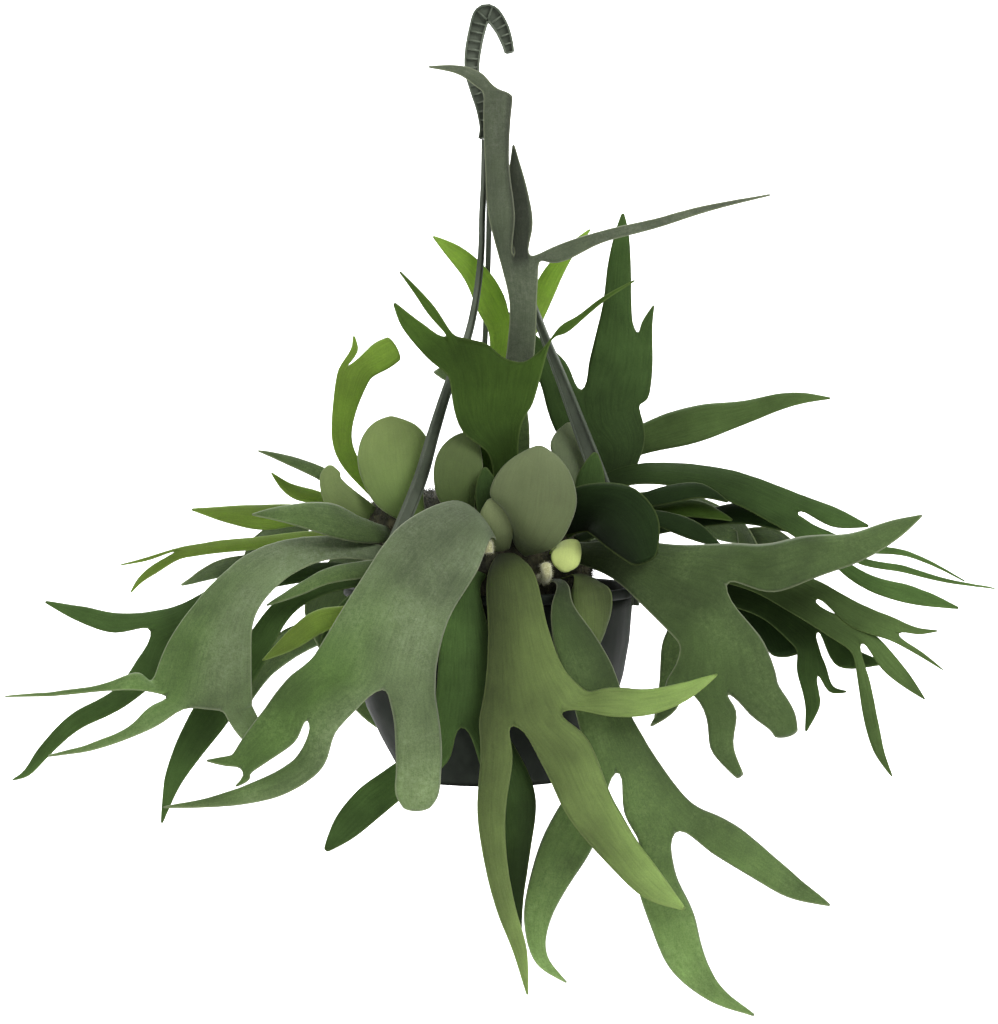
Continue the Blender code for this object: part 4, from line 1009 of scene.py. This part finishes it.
def crozierBud(name, stations, material):
    path = smoothPath([Vector(point) for point in stations], lambda first, second: crozierForm["steps"])
    last = len(path) - 1
    radii = [crozierForm["root"] + crozierForm["swell"] * i / last for i in range(last + 1)]
    radii[-1] *= crozierForm["tip"]
    radii[-2] *= crozierForm["shoulder"]
    sides = crozierForm["sides"]
    points = []
    for index, (centre, radius) in enumerate(zip(path, radii)):
        along = (path[min(index + 1, last)] - path[max(index - 1, 0)]).normalized()
        side = along.cross(Vector((1, 0.2, 0.1))).normalized()
        up = along.cross(side)
        for step in range(sides):
            turn = 2 * math.pi * step / sides
            points.append(centre + (side * math.cos(turn) + up * math.sin(turn)) * radius)
    return orient(meshObject(name, points, tubeFaces(len(path), sides), material))


for seed, (name, stations) in enumerate(crozierShapes.items(), 7):
    wool = finishes["crozier_felt"]
    bud = crozierBud(name + "_bud", stations, wool)
    fuzz = runTree(copyOf(bud, name + "_hair"), shortHair, {**crozierForm["hair"], "Seed": seed}, wool)
    ride(bud, name)
    ride(fuzz)
print("croziers made:", len(crozierShapes))


def lumpyRhizome(material):
    around, rings = rhizomeShape["around"], rhizomeShape["rings"]
    middle = Vector(rhizomeShape["centre"])
    points, faces = [], []
    for ring in range(rings + 1):
        polar = rhizomeShape["firstPolar"] + (math.pi * rhizomeShape["polarShare"]) * ring / rings
        for step in range(around):
            turn = 2.0 * math.pi * step / around
            flat = math.sin(polar)
            away = Vector((flat * math.cos(turn), flat * math.sin(turn), math.cos(polar)))
            lump = math.sin(away.x * 17 + 1) * math.sin(away.y * 15 + 2) * math.sin(away.z * 19)
            reach = rhizomeRadius(away) - rhizomeShape["inset"] + rhizomeShape["lump"] * lump
            point = middle + away * reach
            points.append(Vector((point.x, point.y, max(point.z, rhizomeShape["floor"]))))
    for ring in range(rings):
        for step in range(around):
            a, b = ring * around + step, ring * around + (step + 1) % around
            faces.append((a, a + around, b + around, b))
    faces += [tuple(range(around)), tuple(reversed(range(rings * around, (rings + 1) * around)))]
    return orient(meshObject("rhizomeBody", points, faces, material))


fibre = finishes["rhizome_fibre"]
rhizomeBody = lumpyRhizome(fibre)
rhizomeHair = runTree(copyOf(rhizomeBody, "rhizomeHair"), shortHair, rhizomeShape["hair"], fibre)
ride(rhizomeBody, "rhizome")
ride(rhizomeHair)
print("rhizome made")


# profiles are radius and height from the rim, mm
potShape = {
    "around": 144, "step": 9.0,
    "outer": ((0.0, -111.0), (40.0, -111.0), (42.0, -112.0), (48.0, -112.0), (50.6, -111.2), (52.0, -109.0),
              (63.0, -89.0), (72.0, -70.0), (77.5, -52.0), (81.0, -32.0), (82.6, -12.0), (83.0, -6.2),
              (84.4, -5.6), (85.0, -4.8), (85.0, -1.2), (84.6, -0.3), (83.8, 0.0)),
    "inner": ((82.0, 0.0), (81.2, -0.3), (80.6, -1.0), (80.3, -12.0), (78.8, -32.0), (75.3, -52.0),
              (69.9, -70.0), (61.0, -88.4), (50.4, -106.8), (47.0, -109.0), (0.0, -109.0)),
    "holes": 5, "holeRadius": 4.0, "holeRing": 34.0, "holeTurn": 36.0, "holeMiddle": -110.5, "holeSides": 28,
    "softEdge": 0.4,
}


def lathe(name, profile, steps, material):
    points, faces, rings = [], [], []
    for radius, height in profile:
        count = steps if radius > 0.0 else 1
        rings.append([len(points) + (step if count > 1 else 0) for step in range(steps)])
        for step in range(count):
            turn = 2.0 * math.pi * step / steps
            points.append(Vector((radius * math.cos(turn), radius * math.sin(turn), height)))
    for first, second in zip(rings, rings[1:]):
        for step in range(steps):
            after = (step + 1) % steps
            corners = (first[step], second[step], second[after], first[after])
            faces.append(tuple(dict.fromkeys(corners)))  # a triangle beside the axis
    return orient(meshObject(name, points, faces, material))


def finerProfile(profile, step):
    fine = [profile[0]]
    for (r0, z0), (r1, z1) in zip(profile, profile[1:]):
        count = max(1, round(math.hypot(r1 - r0, z1 - z0) / step))
        fine += [(r0 + (r1 - r0) * i / count, z0 + (z1 - z0) * i / count) for i in range(1, count + 1)]
    return fine


def drainTool():
    shell = bmesh.new()
    radius = potShape["holeRadius"] * mm
    for number in range(potShape["holes"]):
        turn = math.radians(potShape["holeTurn"] + 360.0 * number / potShape["holes"])
        ring = potShape["holeRing"]
        spot = placed((ring * math.cos(turn), ring * math.sin(turn), potShape["holeMiddle"]))
        made = bmesh.ops.create_cone(shell, cap_ends=True, segments=potShape["holeSides"], radius1=radius,
                                     radius2=radius, depth=12.0 * mm)
        bmesh.ops.translate(shell, verts=made["verts"], vec=Vector(spot))
    mesh = bpy.data.meshes.new("holeTool")
    shell.to_mesh(mesh)
    shell.free()
    return newObject("holeTool", mesh)


def makePot():
    profile = finerProfile(potShape["outer"], potShape["step"]) + list(potShape["inner"])
    body = lathe("potBody", profile, potShape["around"], finishes["pot_plastic"])
    tool = drainTool()
    cut = body.modifiers.new("holes", "BOOLEAN")
    cut.operation, cut.solver, cut.object = "DIFFERENCE", "EXACT", tool
    soften = body.modifiers.new("edges", "BEVEL")
    soften.width, soften.segments, soften.angle_limit = potShape["softEdge"] * mm, 2, math.radians(40)
    bake(body)
    bpy.data.objects.remove(tool, do_unlink=True)
    return body


ride(makePot(), "pot")
print("pot made")

# chips lie only above the chip floor
mixShape = {
    "around": 96, "step": 4.0, "chipFloor": -12.8, "chips": {"Density": 42000.0, "Size": 0.0065, "Seed": 11},
    "profile": ((0.0, -12.6), (12.0, -12.6), (24.0, -12.5), (36.0, -12.6), (48.0, -12.4), (58.0, -12.6),
                (66.0, -12.3), (72.0, -12.6), (76.0, -12.2), (79.4, -14.5), (78.2, -31.9), (74.7, -51.8),
                (69.3, -69.8), (60.4, -88.2), (49.8, -106.4), (46.6, -108.7), (0.0, -108.7)),
}
mixProfile = finerProfile(mixShape["profile"], mixShape["step"])
mixBody = lathe("mixBody", mixProfile, mixShape["around"], finishes["potting_mix"])
chipTop = (mixShape["chipFloor"] - rimDrop) * mm
mixChips = runTree(copyOf(mixBody, "mixChips"), barkChips, {**mixShape["chips"], "Top": chipTop}, chipFinish)
ride(mixBody, "potting_mix")
ride(mixChips)
print("mix made")


# hook stations are x, y, z and half width from the seat of the hook; a strap's are radius, height, half width
hookStations = (
    (11.2, 0, -15.5, 2.9), (9.8, 0, -9.5, 3.5), (6.4, 0, -1, 4.4), (0.8, 0, 6.5, 5), (-4.4, 0, 6, 5.2),
    (-7.6, 0, -3.5, 4.9), (-10, 0, -16.5, 4.7), (-10.2, 0, -27, 4.2), (-7.8, 0, -37, 3.8),
    (-4.2, 0, -48, 3.8), (-2, 0, -58, 4.2), (-1, 0, -64, 6))
strapAngles = {"right": 72.0, "left": -48.0, "back": 186.0}
strapTop = ((4, 257.6, 1.6), (4.6, 236, 1.5), (6, 214, 1.5))
strapClip = ((85.4, 8, 3.4), (87.7, -1, 2.2), (87.7, -10, 2.2))
strapPaths = {
    "right": ((12, 196, 1.7), (22, 172, 2), (33, 144, 2.6), (44, 118, 3.4), (56, 88, 4.4), (67, 60, 5),
              (78, 30, 4.6)),
    "left": ((7, 190, 1.6), (11, 165, 1.8), (18, 142, 2.2), (31, 118, 2.8), (43, 90, 3.6), (53, 64, 4.2),
             (68, 36, 4.2)),
    "back": ((10, 190, 1.6), (19, 165, 1.8), (29, 142, 2.2), (40, 118, 2.8), (52, 90, 3.6), (64, 62, 4.2),
             (76, 34, 4.2)),
}
beamShape = {"rail": 1.2, "web": 0.16, "ribGap": 5.0, "rib": 1.0, "ribInset": 0.7, "ribBite": 0.2,
             "leastWeb": 0.45, "corner": 0.3, "lip": 0.1}
beamSize = {"hook": (7.0, 1.6), "strap": (3.0, 3.0)}  # thickness and the step along it


def ladder(name, frames, depth):
    mesh = bpy.data.meshes.new(name)
    edges = [(i, i + 1) for i in range(len(frames) - 1)]
    mesh.from_pydata([placed(centre) for centre, _ in frames], edges, [])
    reach = mesh.attributes.new("ribReach", "FLOAT_VECTOR", "POINT")
    for index, (_, across) in enumerate(frames):
        reach.data[index].vector = across * mm
    values = {"Gap": beamShape["ribGap"] * mm, "Rib": beamShape["rib"] * mm, "Depth": depth * mm}
    return runTree(newObject(name, mesh), ladderRibs, values, finishes["hanger_plastic"])


# two rails with a thin web between them, once round; the second half is the first one turned round
def beamOutline(width, inner, half):
    soft, lip, thin = beamShape["corner"], beamShape["lip"], half * beamShape["web"]
    upper = ((-width, soft - half), (-width, half - soft), (soft - width, half), (-inner - lip, half),
             (-inner, half - lip), (-inner, thin), (inner, thin), (inner, half - lip), (inner + lip, half),
             (width - soft, half))
    return upper + tuple((-a, -b) for a, b in upper)


def beam(name, stations, face, size, ribbed=False):
    thickness, step = size
    nodes = [Vector(station) for station in stations]
    path = smoothPath(nodes, lambda first, second: max(2, round((second.xyz - first.xyz).length / step)))
    half = thickness / 2.0
    points, frames = [], []
    for index, node in enumerate(path):
        before, after = path[max(index - 1, 0)].xyz, path[min(index + 1, len(path) - 1)].xyz
        along = (after - before).normalized()
        side = along.cross(Vector(face).normalized()).normalized()
        normal = side.cross(along).normalized()
        inner = max(node.w - beamShape["rail"], node.w * beamShape["leastWeb"])
        outline = beamOutline(node.w, inner, half)
        points += [node.xyz + side * a + normal * b for a, b in outline]
        frames.append((node.xyz, side * (inner + beamShape["ribBite"])))
    obj = orient(meshObject(name, points, tubeFaces(len(path), len(outline)), finishes["hanger_plastic"]))
    setSmooth(obj.data, False)
    if ribbed:
        ride(ladder(name + "_ribs", frames, thickness - beamShape["ribInset"]))
    return obj


hookPath = [(x, y, z + rimDrop, width) for x, y, z, width in hookStations]
ride(beam("hookBeam", hookPath, (0, -1, 0), beamSize["hook"], True), "hanger_hook")
for side, degrees in strapAngles.items():
    turn = math.radians(degrees)
    out = Vector((math.sin(turn), -math.cos(turn), 0.0))
    rows = strapTop + strapPaths[side] + strapClip
    stations = [(out.x * radius, out.y * radius, height, width) for radius, height, width in rows]
    strap = beam("strapBeam_" + side, stations, (-out.y, out.x, 0.0), beamSize["strap"])
    ride(strap, "hanger_strap_" + side)
print("hanger made")


# pale floor with a swept back, m
stageSetup = {"floor": -0.75, "front": -4.5, "bend": 2.8, "bendRadius": 1.6, "top": 4.5, "halfWidth": 7.0,
              "bendSteps": 12, "tones": (0.93, 0.96), "rough": 0.9}


def makeStage():
    floorZ, bend, radius = stageSetup["floor"], stageSetup["bend"], stageSetup["bendRadius"]
    profile = [(stageSetup["front"], floorZ), (bend, floorZ)]
    for step in range(1, stageSetup["bendSteps"] + 1):
        turn = math.pi / 2 * step / stageSetup["bendSteps"]
        profile.append((bend + radius * math.sin(turn), floorZ + radius - radius * math.cos(turn)))
    profile.append((bend + radius, stageSetup["top"]))
    wide = stageSetup["halfWidth"]
    mesh = bpy.data.meshes.new("studioFloor")
    mesh.from_pydata([(x, y, z) for y, z in profile for x in (-wide, wide)], [],
                     [(2 * i, 2 * i + 1, 2 * i + 3, 2 * i + 2) for i in range(len(profile) - 1)])
    setSmooth(mesh)
    material, tree = newMaterial("paleFloor")
    tones = ramp(tree, noise(tree, objectPlace(tree), 3.0, 2.0),
                 *((place, (tone, tone, tone)) for place, tone in zip((0.3, 0.7), stageSetup["tones"])))
    surface(tree, add(tree, "ShaderNodeBsdfPrincipled", {
        "Base Color": tones, "Roughness": stageSetup["rough"]}))
    mesh.materials.append(material)
    newObject("studioFloor", mesh)


# three soft boxes look at the plant, the last light at the swept back
lightSetup = {
    "keySoftbox": {"place": (1.15, -1.5, 1.0), "target": (0.0, 0.0, -0.3), "size": 1.1, "power": 41.0},
    "fillSoftbox": {"place": (-1.8, -1.0, 0.5), "target": (0.0, 0.0, -0.3), "size": 1.4, "power": 11.0},
    "backSoftbox": {"place": (-0.5, 1.5, 1.2), "target": (0.0, 0.0, -0.3), "size": 1.4, "power": 18.0},
    "backdropLight": {"place": (0.0, 2.4, 2.8), "target": (0.0, 4.4, -0.2), "size": 2.2, "power": 300.0},
}
roomLight = {"colour": (1.0, 1.0, 1.0, 1.0), "strength": 0.56}


def areaLight(name, place, target, size, power):
    data = bpy.data.lights.new(name, "AREA")
    data.shape, data.size, data.energy = "SQUARE", size, power
    lamp = newObject(name, data)
    lamp.location = place
    lamp.rotation_euler = (Vector(target) - Vector(place)).to_track_quat("-Z", "Y").to_euler()


def makeLights():
    world = bpy.data.worlds.new("softRoom")
    world.use_nodes = True
    room = world.node_tree.nodes["Background"].inputs
    room["Color"].default_value = roomLight["colour"]
    room["Strength"].default_value = roomLight["strength"]
    bpy.context.scene.world = world
    for name, light in lightSetup.items():
        areaLight(name, **light)


# height is the angle above the level, in degrees
cameraSetup = {"distance": 2.2, "height": 3.0, "target": (0.0052, 0.0, -0.2807), "lens": 133.3, "sensor": 36.0}


def makeCamera():
    data = bpy.data.cameras.new("mainCamera")
    data.sensor_fit = "VERTICAL"
    data.sensor_height = cameraSetup["sensor"]
    data.lens = cameraSetup["lens"]
    camera = newObject("mainCamera", data)
    target = Vector(cameraSetup["target"])
    tilt = math.radians(cameraSetup["height"])
    camera.location = target + cameraSetup["distance"] * Vector((0.0, -math.cos(tilt), math.sin(tilt)))
    camera.rotation_euler = (target - camera.location).to_track_quat("-Z", "Y").to_euler()
    bpy.context.scene.camera = camera


makeStage()
makeLights()
makeCamera()
bpy.context.scene.view_settings.view_transform = "Standard"
print("stage, lights and camera made")
